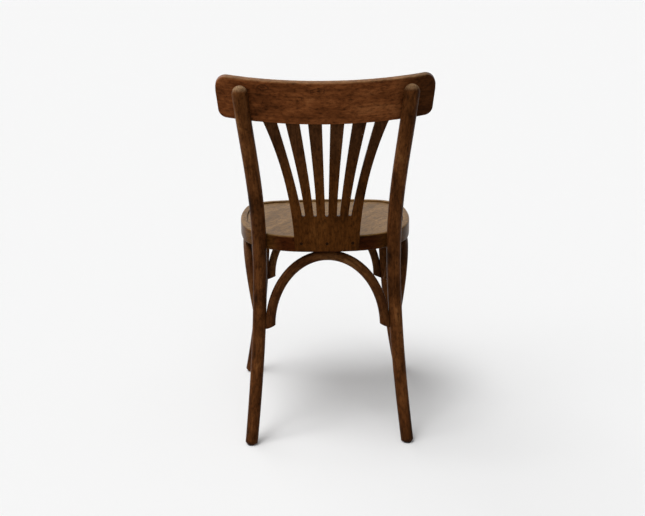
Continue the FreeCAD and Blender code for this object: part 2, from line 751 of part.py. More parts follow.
def through(wire):
    """A flat upright shape pushed right through the chair from front to rear."""
    face = Part.Face(wire)
    face.translate(Vector(0, -REACH / 2, 0))
    return face.extrude(Vector(0, REACH, 0))


def fan(grow=0.0):
    """The fan as a board seen from behind: two curved sides and the slots between slats."""
    head_z = rail_groove_top().z
    foot = Vector(SPLAT_FOOT_HALF_WIDTH + grow, 0, SPLAT_FOOT_Z)
    head = Vector(SPLAT_HEAD_HALF_WIDTH + grow, 0, head_z)
    side = side_curve(foot, head, SPLAT_SIDE_SAG)
    other = mirrored(side)
    edges = [
        side,
        other,
        Part.LineSegment(foot, Vector(-foot.x, 0, foot.z)).toShape(),
        Part.LineSegment(head, Vector(-head.x, 0, head.z)).toShape(),
    ]
    blank = through(Part.Wire(Part.__sortEdges__(edges)))
    outermost = (SLAT_COUNT - 2) / 2
    steps = [index - outermost for index in range(SLAT_COUNT - 1)]
    return blank.cut([through(slot_outline(step, grow)) for step in steps])


def splat_blank(grow=0.0):
    return splat_board(grow).common(fan(grow))


def splat_screw_places(depth):
    """Places at a depth under the splat's rear face where its screws enter the ring."""
    centre = REAR_CENTRE + Vector(0, 0, REAR_SEAT_Z + SPLAT_SCREW_RISE)
    radius = REAR_ARC_RADIUS + WOOD_FIT + SPLAT_THICKNESS - depth
    places = []
    for step in (-1, 0, 1):
        turn = math.asin(step * SPLAT_SCREW_SPACING / REAR_ARC_RADIUS)
        way = Vector(math.sin(turn), math.cos(turn), 0)
        places.append((centre + way * radius, -way))
    return places


# Leg bolts run from inside the ring, square to it, into the rear legs
def leg_bolt_place():
    """The floor of the washer's flat beside the left rear leg, and the way into the leg."""
    way = Vector(REAR_SEAT_X - REAR_CORNER.x, REAR_SEAT_Y - REAR_CORNER.y, 0).normalize()
    seat = REAR_CORNER + way * (REAR_CORNER_RADIUS - RING_WIDTH + LEG_WASHER_SEAT)
    return Vector(seat.x, seat.y, RING_BOTTOM + LEG_BOLT_RISE), way


def washer_pocket():
    """A flat for the washer on the ring's curved inner face."""
    seat, way = leg_bolt_place()
    return Part.makeCylinder(LEG_WASHER_DIAMETER / 2 + SCREW_CLEARANCE, RING_WIDTH, seat, -way)


def leg_bolt_hole():
    seat, way = leg_bolt_place()
    radius = LEG_BOLT_DIAMETER / 2 + SCREW_CLEARANCE
    return Part.makeCylinder(radius, LEG_BOLT_LENGTH + SCREW_CLEARANCE, seat, way)


# Seat
def edges_between(shape, bottom, top):
    """The edges of a shape that lie wholly between two heights."""
    return [e for e in shape.Edges if e.BoundBox.ZMin > bottom - NEAR and e.BoundBox.ZMax < top + NEAR]


def seat_ring():
    ring = prism(seat_outline(0), RING_BOTTOM, SEAT_HEIGHT)
    ring = ring.makeFillet(RIM_ROUNDING, edges_between(ring, SEAT_HEIGHT, SEAT_HEIGHT))
    ring = ring.makeFillet(RING_FOOT_ROUNDING, edges_between(ring, RING_BOTTOM, RING_BOTTOM))
    well = prism(seat_outline(RING_WIDTH), RING_BOTTOM, SEAT_HEIGHT)
    rebate = prism(seat_outline(RIM_WIDTH), PANEL_BOTTOM, SEAT_HEIGHT)
    ring = ring.cut([well, rebate])
    lip = seat_outline(RIM_WIDTH)
    lip.translate(Vector(0, 0, SEAT_HEIGHT))
    top_edges = edges_between(ring, SEAT_HEIGHT, SEAT_HEIGHT)
    starts = [Part.Vertex(e.valueAt(e.FirstParameter)) for e in top_edges]
    lip_edges = [e for e, start in zip(top_edges, starts) if lip.distToShape(start)[0] < NEAR]
    ring = ring.makeFillet(RIM_INNER_ROUNDING, lip_edges)
    bore_foot = Vector(FRONT_TOP_X, FRONT_TOP_Y, RING_BOTTOM)
    bore = Part.makeCylinder(TENON_DIAMETER / 2 + WOOD_FIT, TENON_LENGTH + TENON_END_GAP, bore_foot)
    holes = [bore, washer_pocket(), leg_bolt_hole(), crown_screw_hole("side_bow")]
    holes += [mirrored(hole) for hole in holes]
    holes += [crown_screw_hole("rear_bow"), crown_screw_hole("front_bow")]
    screw_room = screw_hole(SPLAT_SCREW_LENGTH, RING_WIDTH)
    holes += [driven(screw_room, seat, way) for seat, way in splat_screw_places(SPLAT_SCREW_DEPTH)]
    return solid_of(ring.cut(holes))


def seat_panel():
    panel = prism(seat_outline(RIM_WIDTH + PANEL_EDGE_GAP), PANEL_BOTTOM, PANEL_TOP)
    return panel.makeFillet(RIM_INNER_ROUNDING, edges_between(panel, PANEL_TOP, PANEL_TOP))


# Legs
def nail_room(line):
    foot = line.value(line.FirstParameter)
    radius = NAIL_DIAMETER / 2 + SCREW_CLEARANCE
    return Part.makeCylinder(radius, NAIL_LENGTH + SCREW_CLEARANCE, Vector(foot.x, foot.y, NAIL_SINK))


def rear_leg():
    leg = rear_leg_rod().common(foot_bevel(REAR_LINE))
    below_glide = slab_between(-REACH, GLIDE_HEIGHT)
    ring_room = prism(seat_outline(-WOOD_FIT), RING_BOTTOM - WOOD_FIT, SEAT_HEIGHT + WOOD_FIT)
    rail_front = RAIL_RADIUS - REAR_TOP_DIAMETER
    rail_bottom = -RAIL_HEIGHT / 2 - WOOD_FIT
    rail_room = rail_placed(rail_bend(rail_front, RAIL_RADIUS + WOOD_FIT, rail_bottom, RAIL_HEIGHT))
    holes = [below_glide, ring_room, rail_room, leg_bolt_hole(), nail_room(REAR_LINE)]
    holes.append(end_screw_holes("rear_bow")[0])
    holes.append(end_screw_holes("side_bow")[0])
    room = screw_hole(RAIL_SCREW_LENGTH, RAIL_THICKNESS)
    left_screws = [(seat, way) for seat, way in rail_screw_places(RAIL_SCREW_DEPTH) if seat.x > 0]
    holes += [driven(room, seat, way) for seat, way in left_screws]
    return solid_of(leg.cut(holes))


def front_leg():
    leg = front_leg_rod().common(foot_bevel(FRONT_LINE))
    tenon_foot = Vector(FRONT_TOP_X, FRONT_TOP_Y, RING_BOTTOM)
    leg = leg.cut([slab_between(-REACH, GLIDE_HEIGHT), above(RING_BOTTOM)])
    tenon = Part.makeCylinder(TENON_DIAMETER / 2, TENON_LENGTH, tenon_foot)
    leg = leg.fuse(tenon)
    holes = [nail_room(FRONT_LINE), end_screw_holes("front_bow")[0], end_screw_holes("side_bow")[1]]
    return solid_of(leg.cut(holes))


def glide(line):
    foot = line.value(line.FirstParameter)
    disc = Part.makeCylinder(GLIDE_DIAMETER / 2, GLIDE_HEIGHT)
    disc = disc.makeFillet(GLIDE_ROUNDING, edges_between(disc, 0, 0))
    bore = Part.makeCylinder(NAIL_DIAMETER / 2 + SCREW_CLEARANCE, GLIDE_HEIGHT)
    pocket_height = NAIL_SINK + NAIL_HEAD_HEIGHT
    pocket = Part.makeCylinder(NAIL_HEAD_DIAMETER / 2 + SCREW_CLEARANCE, pocket_height)
    disc = disc.cut([bore, pocket])
    disc.translate(Vector(foot.x, foot.y, 0))
    return disc


def glide_nail(line):
    foot = line.value(line.FirstParameter)
    head = Part.makeCylinder(NAIL_HEAD_DIAMETER / 2, NAIL_HEAD_HEIGHT)
    shank = Part.makeCylinder(NAIL_DIAMETER / 2, NAIL_LENGTH - NAIL_DIAMETER)
    point_start = Vector(0, 0, NAIL_LENGTH - NAIL_DIAMETER)
    point = Part.makeCone(NAIL_DIAMETER / 2, NAIL_DIAMETER / 16, NAIL_DIAMETER, point_start)
    nail = solid_of(head.fuse([shank, point]))
    nail.translate(Vector(foot.x, foot.y, NAIL_SINK))
    return nail


# Back
def back_rail():
    rail = rail_blank()
    rail = rail.makeFillet(RAIL_EDGE_ROUNDING, [e for e in rail.Edges if on_rail_face(e)])
    rail = rail_placed(rail)
    half_height = RAIL_HEIGHT / 2
    inside = rail_bend(RAIL_RADIUS - RAIL_THICKNESS, RAIL_RADIUS, -half_height, half_height)
    cutters = [splat_blank(SPLAT_TENON_GAP).common(rail_placed(inside))]
    room = screw_hole(RAIL_SCREW_LENGTH, RAIL_THICKNESS, head=RAIL_PLUG_DIAMETER)
    cutters += [driven(room, seat, way) for seat, way in rail_screw_places(RAIL_SCREW_DEPTH)]
    return solid_of(rail.cut(cutters))


def on_rail_face(edge):
    """Whether an edge bounds the rail's front or rear face, rather than crossing its thickness."""
    middle = edge.valueAt((edge.FirstParameter + edge.LastParameter) / 2)
    radius = math.hypot(middle.x, middle.y + RAIL_RADIUS)
    return min(abs(radius - RAIL_RADIUS), abs(radius - RAIL_RADIUS + RAIL_THICKNESS)) < NEAR


def back_splat():
    room = screw_hole(SPLAT_SCREW_LENGTH, SPLAT_THICKNESS, head=SPLAT_PLUG_DIAMETER)
    holes = [driven(room, seat, way) for seat, way in splat_screw_places(SPLAT_SCREW_DEPTH)]
    return solid_of(splat_blank().cut(holes))


def group(shapes):
    return Part.makeCompound(list(shapes))


def both_sides(shapes):
    return group(shapes + [mirrored(shape) for shape in shapes])


def fasteners():
    """Every screw, bolt, washer, plug and nail, as groups of separate solids."""
    nodes = {}
    nodes["glide_nails"] = both_sides([glide_nail(REAR_LINE), glide_nail(FRONT_LINE)])
    splat_screw = screw(SPLAT_SCREW_LENGTH, head=SPLAT_PLUG_DIAMETER - 1)
    nodes["splat_screws"] = group(
        driven(splat_screw, seat, way) for seat, way in splat_screw_places(SPLAT_SCREW_DEPTH))
    splat_plug = Part.makeCylinder(SPLAT_PLUG_DIAMETER / 2, PLUG_THICKNESS, ORIGIN, -Z_AXIS)
    nodes["splat_plugs"] = group(
        driven(splat_plug, seat, way) for seat, way in splat_screw_places(PLUG_RECESS))
    rail_screw = screw(RAIL_SCREW_LENGTH, head=RAIL_PLUG_DIAMETER - 1)
    nodes["rail_screws"] = group(
        driven(rail_screw, seat, way) for seat, way in rail_screw_places(RAIL_SCREW_DEPTH))
    rail_plug = Part.makeCylinder(RAIL_PLUG_DIAMETER / 2, PLUG_THICKNESS, ORIGIN, -Z_AXIS)
    nodes["rail_plugs"] = group(
        driven(rail_plug, seat, way) for seat, way in rail_screw_places(PLUG_RECESS))
    seat, way = leg_bolt_place()
    nodes["leg_bolts"] = both_sides([driven(hex_bolt(), seat - way * LEG_WASHER_THICKNESS, way)])
    nodes["leg_washers"] = both_sides([driven(washer(), seat, way)])
    end_screw = screw(BOW_END_SCREW_LENGTH)
    side_screws = [driven(end_screw, *place) for place in BOW_SCREW_PLACES["side_bow"]]
    cross_places = BOW_SCREW_PLACES["rear_bow"] + BOW_SCREW_PLACES["front_bow"]
    cross_screws = [driven(end_screw, *place) for place in cross_places]
    nodes["bow_end_screws"] = group(cross_screws + side_screws + [mirrored(one) for one in side_screws])
    top_screw = screw(BOW_TOP_SCREW_LENGTH)
    top_screws = {name: driven(top_screw, seat, Z_AXIS) for name, seat in CROWN_SCREW_SEATS.items()}
    nodes["bow_top_screws"] = group([*top_screws.values(), mirrored(top_screws["side_bow"])])
    return nodes


def build():
    nodes = {"seat_ring": seat_ring(), "seat_panel": seat_panel()}
    legs = [rear_leg_rod(WOOD_FIT), front_leg_rod(WOOD_FIT)]
    left_pieces = {
        "rear_leg": rear_leg(),
        "front_leg": front_leg(),
        "glide_rear": glide(REAR_LINE),
        "glide_front": glide(FRONT_LINE),
        "side_bow": finished_bow("side_bow", legs),
    }
    for name, shape in left_pieces.items():
        nodes[name + "_left"] = shape
        nodes[name + "_right"] = mirrored(shape)
    rear_legs = [legs[0], mirrored(legs[0])]
    front_legs = [legs[1], mirrored(legs[1])]
    nodes["rear_bow"] = finished_bow("rear_bow", rear_legs)
    nodes["front_bow"] = finished_bow("front_bow", front_legs)
    nodes["back_rail"] = back_rail()
    nodes["back_splat"] = back_splat()
    nodes.update(fasteners())
    return nodes


def main():
    os.makedirs("parts", exist_ok=True)
    rear_reach = REAR_FOOT_Y + REAR_FOOT_DIAMETER / 2
    to_middle = Vector(0, (SEAT_HALF_DEPTH - rear_reach) / 2, 0)
    for name, shape in build().items():
        shape.translate(to_middle)
        shape.exportStep("parts/" + name + ".step")
        print(name, len(shape.Solids), shape.isValid(), round(shape.Volume / 1000, 2))


main()
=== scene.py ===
"""Bentwood bistro chair: walnut-stained beech under satin lacquer, in a plain pale studio."""

import math

import bpy
import numpy as np
from mathutils import Matrix, Vector


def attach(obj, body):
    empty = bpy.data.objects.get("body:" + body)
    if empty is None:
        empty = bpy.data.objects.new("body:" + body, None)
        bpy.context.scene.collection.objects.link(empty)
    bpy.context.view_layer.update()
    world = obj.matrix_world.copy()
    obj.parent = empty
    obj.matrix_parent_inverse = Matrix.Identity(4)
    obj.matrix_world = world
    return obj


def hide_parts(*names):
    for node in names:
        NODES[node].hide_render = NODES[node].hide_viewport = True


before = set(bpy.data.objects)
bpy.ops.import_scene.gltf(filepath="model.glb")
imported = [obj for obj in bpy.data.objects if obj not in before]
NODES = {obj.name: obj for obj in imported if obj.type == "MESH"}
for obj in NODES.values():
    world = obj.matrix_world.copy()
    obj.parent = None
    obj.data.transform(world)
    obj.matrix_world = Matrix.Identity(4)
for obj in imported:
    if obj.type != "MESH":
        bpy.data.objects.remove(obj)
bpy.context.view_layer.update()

MM = 0.001

# Kinds of nodes, by what they do
MATHS = "ShaderNodeMath"
VECTOR_MATHS = "ShaderNodeVectorMath"
RAMP = "ShaderNodeValToRGB"
MIX = "ShaderNodeMix"
SPLIT = "ShaderNodeSeparateXYZ"
JOIN = "ShaderNodeCombineXYZ"
MAP_RANGE = "ShaderNodeMapRange"
NOISE = "ShaderNodeTexNoise"
BUMP = "ShaderNodeBump"
TEXTURE_PLACE = "ShaderNodeTexCoord"
REALIZE = "GeometryNodeRealizeInstances"
SMOOTH = "GeometryNodeSetShadeSmooth"
COMPARE = "FunctionNodeCompare"
MOVE = "GeometryNodeSetPosition"
SWEEP = "GeometryNodeCurveToMesh"
POSITION = "GeometryNodeInputPosition"
CIRCLE = "GeometryNodeCurvePrimitiveCircle"
STORED = "GeometryNodeInputNamedAttribute"
STORE = "GeometryNodeStoreNamedAttribute"

# A colour mix's inputs: how much of the upper colour, the colour under it and the upper colour itself
SHARE, UNDER, OVER = 0, 6, 7

# Places of the chair's pieces, in millimetres about the middle of the seat, as the part has them
SEAT_MIDDLE = Vector((0.0, -53.5, 0.0))
GLIDE_HEIGHT = 2.2
REAR_LEG_STATIONS = [
    (177.2, 297.0, 0.0),
    (163.5, 236.0, 150.0),
    (155.0, 191.0, 300.0),
    (153.5, 169.1, 442.0),
    (159.3, 185.1, 560.0),
    (173.8, 210.1, 690.0),
    (183.8, 234.1, 784.0),
]
FRONT_LEG_STATIONS = [
    (200.0, -158.0, 0.0),
    (180.5, -159.8, 110.0),
    (160.5, -162.8, 290.0),
    (155.0, -164.9, 424.0),
]
REAR_LEG_DIAMETERS = [(0.0, 28.0), (442.0, 33.0), (784.0, 34.5)]
FRONT_LEG_DIAMETERS = [(0.0, 28.5), (424.0, 29.5)]
FOOT_TIP_RADIUS = 9.0
REAR_BOW = {
    "ends": ((131.06, 204.52, 249.5), (-131.06, 204.52, 249.5)),
    "crown": (0.0, 189.0, 413.3),
    "spring": 250.0,
    "diameter": 23.0,
}
FRONT_BOW = {
    "ends": ((138.9, -162.24, 259.0), (-138.9, -162.24, 259.0)),
    "crown": (0.0, -189.0, 414.55),
    "spring": 266.0,
    "diameter": 20.5,
}
SIDE_BOW = {
    "ends": ((157.23, 177.52, 257.0), (162.66, -138.21, 257.0)),
    "crown": (188.11, 19.66, 414.55),
    "spring": 266.0,
    "diameter": 20.5,
}
BOW_END_SLANT = math.radians(22.0)
SMALLEST_DOME = 1e-6  # in metres: keeps the closing of a leg without a dome from dividing by nought
SMALLEST_SHARE = 1e-4  # keeps the dome's last circle from shrinking to a point
DOUBLE_DISTANCE = 0.00002  # in metres: points of a rod closer than this are one
BOW_END_ROUNDING = 2.5
BOW_END_HEIGHT = 30.0

# The screws' and plugs' own sizes, in millimetres
SCREW_HEAD_DEPTH = 5.5
SCREW_HEAD_HEIGHT = 3.0
SCREW_RING_SPACING = 0.3
TIP_SHARE = 0.125  # how wide a screw's tip is, as a share of its shank
SHARP_EDGE = 0.6  # an edge that turns by more radians than this stays crisp
NEXT_TO_NOTHING = 0.00001


def linear(colour):
    """An sRGB hex colour as the linear numbers that a shader takes."""
    parts = [int(colour[start:start + 2], 16) / 255 for start in (1, 3, 5)]
    parts = [part / 12.92 if part <= 0.04045 else ((part + 0.055) / 1.055) ** 2.4 for part in parts]
    return (*parts, 1.0)


def add(tree, kind, inputs=(), stops=(), **settings):
    """A node with its settings, input values and links, given by its first output that is in use.

    Inputs go in order, or by name or number in a dict.  Stops are a colour ramp's positions and colours.
    """
    node = tree.nodes.new(kind)
    for name, value in settings.items():
        setattr(node, name, value)
    chosen = inputs if isinstance(inputs, dict) else dict(enumerate(inputs))
    for name, value in chosen.items():
        if isinstance(value, bpy.types.NodeSocket):
            tree.links.new(value, node.inputs[name])
        else:
            node.inputs[name].default_value = value
    for number, (position, colour) in enumerate(stops):
        elements = node.color_ramp.elements
        element = elements[number] if number < len(elements) else elements.new(position)
        element.position = position
        element.color = linear(colour)
    return next((output for output in node.outputs if output.enabled), None)


# Where the grain runs: each of these gives a vector in metres whose X follows the grain
def object_place(tree, middle=(0.0, 0.0, 0.0), turn=(0.0, 0.0, 0.0)):
    """The place on the piece, about a middle and turned, so that X follows the grain."""
    place = add(tree, TEXTURE_PLACE).node.outputs["Object"]
    centred = {"Vector": place, "Location": middle, "Rotation": turn}
    return add(tree, "ShaderNodeMapping", centred, vector_type="TEXTURE")


def stored_place(tree):
    """The place along and across a bent rod, stored on its mesh when the rod was made."""
    return add(tree, "ShaderNodeAttribute", attribute_name="grain_place").node.outputs["Vector"]


def ring_place(tree, place, radius):
    """The place round a bend: X is the way round it, Y the way out from it, Z along its axis."""
    x, y, z = add(tree, SPLIT, (place,)).node.outputs
    turn = add(tree, MATHS, (x, y), operation="ARCTAN2")
    around = add(tree, MATHS, (turn, radius), operation="MULTIPLY")
    flat = add(tree, JOIN, (x, y, 0.0))
    out = add(tree, VECTOR_MATHS, (flat,), operation="LENGTH")
    return add(tree, JOIN, (around, out, z))


def streaks(tree, place, along, across, detail=3.0, roughness=0.55, distortion=0.0):
    """An uneven pattern drawn out along the grain: its two sizes are in cells per metre."""
    drawn = add(tree, VECTOR_MATHS, (place, (along, across, across)), operation="MULTIPLY")
    values = {"Scale": 1.0, "Detail": detail, "Roughness": roughness, "Distortion": distortion}
    return add(tree, NOISE, {"Vector": drawn, **values})


def stained_wood(name, place_of, tones, patches=(), swirls=(), gloss=0.33):
    """Beech, steam-bent or laminated, rubbed with walnut stain and sprayed with satin lacquer.

    The stain takes unevenly, so the brown drifts from reddish to nearly black in soft patches.  Growth
    rings and fibres run along the grain as fine darker lines, with beech's ray flecks a few millimetres
    long between them.  The lacquer fills the pores: its gloss is soft and faintly broken by the grain.
    """
    material = bpy.data.materials.new(name)
    material.use_nodes = True
    tree = material.node_tree
    shader = tree.nodes["Principled BSDF"]
    place = place_of(tree)
    drift = streaks(tree, place, 9.0, 24.0, detail=5.0, roughness=0.62, distortion=0.4)
    colour = add(tree, RAMP, (drift,), stops=zip(TONE_STEPS, tones))
    # Each patch lays other tones over a region: some are the stain's own, others painted shade,
    # highlight or sheen
    for patch_of, other_tones in patches:
        other = add(tree, RAMP, (drift,), stops=zip(TONE_STEPS, other_tones))
        chosen = {SHARE: patch_of(tree), UNDER: colour, OVER: other}
        colour = add(tree, MIX, chosen, data_type="RGBA")
    rings = streaks(tree, place, 5.0, 240.0, detail=2.0, roughness=0.5, distortion=0.3)
    fibres = streaks(tree, place, 45.0, 1100.0, detail=2.0, roughness=0.6)
    mottle = streaks(tree, place, 90.0, 170.0, detail=4.0, roughness=0.7)
    for share, pattern, stops in (
        (0.35, rings, ((0.34, "#8A7A70"), (0.50, "#EDE8E4"), (0.68, "#FFFFFF"))),
        (0.5, fibres, ((0.30, "#6E6159"), (0.52, "#F4F2F0"), (0.70, "#FFFFFF"))),
        (0.75, mottle, ((0.32, "#6E5F56"), (0.50, "#E6E0DA"), (0.64, "#FFFFFF"))),
    ):
        shade = add(tree, RAMP, (pattern,), stops=stops)
        chosen = {SHARE: share, UNDER: colour, OVER: shade}
        colour = add(tree, MIX, chosen, data_type="RGBA", blend_type="MULTIPLY")
    for swirl_of in swirls:
        chosen = {SHARE: swirl_of(tree, place), UNDER: colour, OVER: linear("#1E0E06")}
        colour = add(tree, MIX, chosen, data_type="RGBA")
    flecks = add(tree, MATHS, (ray_flecks(tree, place), 0.35), operation="MULTIPLY")
    colour = add(tree, MIX, {SHARE: flecks, UNDER: colour, OVER: linear("#1B0D05")}, data_type="RGBA")
    tree.links.new(colour, shader.inputs["Base Color"])
    rough = add(tree, MATHS, (mottle, 0.18, gloss - 0.09), operation="MULTIPLY_ADD")
    tree.links.new(rough, shader.inputs["Roughness"])
    shader.inputs["IOR"].default_value = 1.5
    shader.inputs["Specular IOR Level"].default_value = 0.03
    shader.inputs["Specular Tint"].default_value = linear("#E0BC94")
    raised = add(tree, MATHS, (mottle, 0.4), operation="MULTIPLY")
    height = add(tree, MATHS, (fibres, 0.6, raised), operation="MULTIPLY_ADD")
    bump = add(tree, BUMP, {"Height": height, "Strength": 0.15, "Distance": 0.0006})
    tree.links.new(bump, shader.inputs["Normal"])
    return material


def ray_flecks(tree, place):
    """Beech's short dark flecks, about 3 mm long and under 1 mm wide, scattered along the grain."""
    drawn = add(tree, VECTOR_MATHS, (place, (190.0, 620.0, 620.0)), operation="MULTIPLY")
    distance = add(tree, "ShaderNodeTexVoronoi", {"Vector": drawn, "Scale": 1.0, "Randomness": 1.0})
    near = add(tree, MATHS, (0.34, distance), operation="SUBTRACT")
    return add(tree, MATHS, (near, 5.0), operation="MULTIPLY", use_clamp=True)


# Each wood's browns, from the darkest to the lightest, and the drift at which each is reached
TONE_STEPS = (0.30, 0.45, 0.58, 0.74)
RAIL_TONES = ("#4A2813", "#7D4826", "#925831", "#A66C41")
# Darker browns for the rail's right end: painted shade where it turns away from the light
RAIL_END_SHADED_TONES = ("#301A0B", "#4A2913", "#573218", "#643E21")
LEG_TONES = ("#2E190B", "#5D371B", "#754927", "#93673D")
# Paler browns for the rear legs' domes: partly wear, partly a painted highlight
DOME_WEAR_AND_HIGHLIGHT_TONES = ("#8A6A4A", "#AA8B68", "#C2A581", "#D8BE9C")
SPLAT_TONES = ("#2E190C", "#543012", "#613917", "#704620")
# Darker browns for the slats' tops: painted shade under the rail
SPLAT_HEAD_SHADED_TONES = ("#2A190E", "#452A17", "#52331D", "#5E3D25")
RING_TONES = ("#3C230E", "#5C3B19", "#6B4820", "#7C582D")
RING_REAR_TONES = ("#2B1406", "#451F0B", "#532A10", "#63381C")
BOW_TONES = ("#2A160A", "#55321A", "#6C4626", "#926A45")
PLUG_TONES = ("#1A0D05", "#2A170A", "#341E0F", "#432A18")
# The seat's tones: the panel's own paler veneer, lightened further as painted sheen from the light above
SEAT_PALE_AND_SHEEN_TONES = ("#785C36", "#906F45", "#9D7B4F", "#AE8B5D")
# Paler browns for the rail's upper edge: a painted highlight
RAIL_EDGE_HIGHLIGHT_TONES = ("#80603E", "#A07F5A", "#B3926C", "#C7A880")


def band(tree, axis, start, end):
    """Nought before a height or depth on the chair and one after it, with a soft step between."""
    place = add(tree, TEXTURE_PLACE).node.outputs["Object"]
    value = add(tree, SPLIT, (place,)).node.outputs[axis]
    reach = {"Value": value, "From Min": start, "From Max": end}
    return add(tree, MAP_RANGE, reach, interpolation_type="SMOOTHSTEP")


def rail_top_edge_painted_highlight(tree):
    """The rail's upper edge, a paler broken line: a painted highlight where the edge catches the light
    from above.
    """
    height = add(tree, SPLIT, (rail_grain(tree),)).node.outputs["Z"]
    edge = add(tree, MAP_RANGE, {"Value": height, "From Min": 0.0440, "From Max": 0.0472})
    patchiness = add(tree, NOISE, {"Scale": 60.0, "Detail": 3.0})
    return add(tree, MATHS, (edge, patchiness), operation="MULTIPLY")


# Where the rail's swirls are, along its bend and up it, and their half sizes, all in metres
RAIL_SWIRLS = ((0.134, 0.033), (0.017, 0.030))
SWIRL_HALF_LENGTH = 0.014
SWIRL_HALF_HEIGHT = 0.0065


def rail_swirls(tree, place):
    """Two swirls in the rail's grain, 28 mm long and 13 mm high, where twigs once left the trunk."""
    wander = streaks(tree, place, 70.0, 160.0, detail=2.0)
    wander = add(tree, MATHS, (wander, 1.4, -0.7), operation="MULTIPLY_ADD")
    shares = (1 / SWIRL_HALF_LENGTH, 0.0, 1 / SWIRL_HALF_HEIGHT)
    darkness = 0.0
    for along, height in RAIL_SWIRLS:
        apart = add(tree, VECTOR_MATHS, (place, (along, 0.0, height)), operation="SUBTRACT")
        apart = add(tree, VECTOR_MATHS, (apart, shares), operation="MULTIPLY")
        far = add(tree, VECTOR_MATHS, (apart,), operation="LENGTH")
        far = add(tree, MATHS, (far, wander), operation="ADD")
        waves = add(tree, MATHS, (far, 9.0), operation="MULTIPLY")
        waves = add(tree, MATHS, (waves,), operation="SINE")
        lines = add(tree, MATHS, (waves, 0.5, 0.5), operation="MULTIPLY_ADD")
        reach = {"Value": far, "From Min": 0.8, "From Max": 1.7, "To Min": 0.6, "To Max": 0.0}
        fade = add(tree, MAP_RANGE, reach, interpolation_type="SMOOTHSTEP")
        swirl = add(tree, MATHS, (lines, fade), operation="MULTIPLY")
        darkness = add(tree, MATHS, (swirl, darkness), operation="MAXIMUM")
    return darkness


def rail_end_painted_shade(tree):
    """The rail's right end, darkened as painted shade where it turns away from the light on the left."""
    return band(tree, "X", -0.13, -0.21)


def leg_dome_wear_and_highlight(tree):
    """The very top of the rear legs, paler in patches: partly worn by hands, partly a painted highlight
    where the light from above falls.
    """
    patchiness = add(tree, NOISE, {"Scale": 130.0, "Detail": 3.0})
    patchiness = add(tree, MATHS, (patchiness, 1.5), operation="MULTIPLY")
    return add(tree, MATHS, (band(tree, "Z", 0.786, 0.799), patchiness), operation="MULTIPLY")


def splat_head_painted_shade(tree):
    """The slats darken towards the rail: painted shade under the rail's overhang."""
    return band(tree, "Z", 0.54, 0.70)


def ring_rear(tree):
    """The ring's outer face behind, between the rear legs, which is darker and redder."""
    return band(tree, "Y", 0.105, 0.14)


def ring_top_painted_sheen(tree):
    """The ring's upper face and rounded top edge, in the seat's pale tones: painted sheen, the top light
    and grazing reflection that this face catches.
    """
    return band(tree, "Z", 0.4565, 0.4595)


def metres(point):
    """A place given in millimetres about the seat's middle, in metres about the chair's own origin."""
    return (Vector(point) + SEAT_MIDDLE) * MM


def clamped_spline(stations, count):
    """Places on the smooth cubic line through the stations, evenly spread along its parameter."""
    points = np.array(stations, dtype=float)
    gaps = np.linalg.norm(np.diff(points, axis=0), axis=1)
    knots = np.concatenate([[0.0], np.cumsum(gaps)])
    slopes = [end_slope(points[:4], knots[:4]), end_slope(points[-4:][::-1], knots[-4:][::-1])]
    size = len(points)
    matrix = np.eye(size)
    right = np.zeros_like(points)
    right[0], right[-1] = slopes
    for index in range(1, size - 1):
        before, after = gaps[index - 1], gaps[index]
        matrix[index, index - 1:index + 2] = (after, 2 * (before + after), before)
        rise_before = (points[index] - points[index - 1]) / before
        rise_after = (points[index + 1] - points[index]) / after
        right[index] = 3 * (rise_before * after + rise_after * before)
    tangents = np.linalg.solve(matrix, right)
    places = []
    for knot in np.linspace(0.0, knots[-1], count):
        index = min(int(np.searchsorted(knots, knot, side="right")) - 1, size - 2)
        width = gaps[index]
        share = (knot - knots[index]) / width
        places.append(
            points[index] * (1 + 2 * share) * (1 - share) ** 2
            + tangents[index] * width * share * (1 - share) ** 2
            + points[index + 1] * share ** 2 * (3 - 2 * share)
            - tangents[index + 1] * width * share ** 2 * (1 - share)
        )
    return [Vector(place) for place in places]


def end_slope(points, knots):
    """The slope at the first of four places, of the cubic that passes through all four."""
    system = np.vander(knots - knots[0], 4, increasing=True)
    return np.linalg.solve(system, points)[1]


def rod_places(stations, dome_radius):
    """The middle line of a leg, with extra places where its foot is bevelled and its dome closes."""
    places = clamped_spline(stations, 90)
    first_way = (places[1] - places[0]).normalized()
    foot = [places[0] + first_way * step for step in (0.0, 1.5, 3.0, 4.5, 6.0)]
    body = [place for place in places if (place - places[0]).length > 8.0]
    last_way = (places[-1] - places[-2]).normalized()
    turns = [math.pi / 2 * step / 14 for step in range(1, 15)] if dome_radius else []
    dome = [places[-1] + last_way * dome_radius * math.sin(turn) for turn in turns]
    return foot + body + dome


def bow_places(bow):
    """The middle line of a bow: short straight ends and half an ellipse over them."""
    first, second, crown = (Vector(place) for place in (*bow["ends"], bow["crown"]))
    middle = (first + second) / 2
    across = (second - first).normalized()
    rise = crown - middle
    rise -= across * rise.dot(across)
    up = rise.normalized()
    leg = (bow["spring"] - middle.z) / up.z
    half_span = (second - first).length / 2
    centre = middle + up * leg
    arch = []
    for step in range(97):
        turn = math.pi * step / 96
        arch.append(centre - across * half_span * math.cos(turn) + (rise - up * leg) * math.sin(turn))
    drop = bow["diameter"] / 2 * math.tan(BOW_END_SLANT) + 0.5
    straight = [leg * share for share in (0.25, 0.5, 0.75)] if leg > 2.0 else []
    first_leg = [first - up * drop] + [first + up * rise_by for rise_by in straight]
    second_leg = [second + up * rise_by for rise_by in reversed(straight)] + [second - up * drop]
    return first_leg + arch + second_leg, middle, across, up, half_span


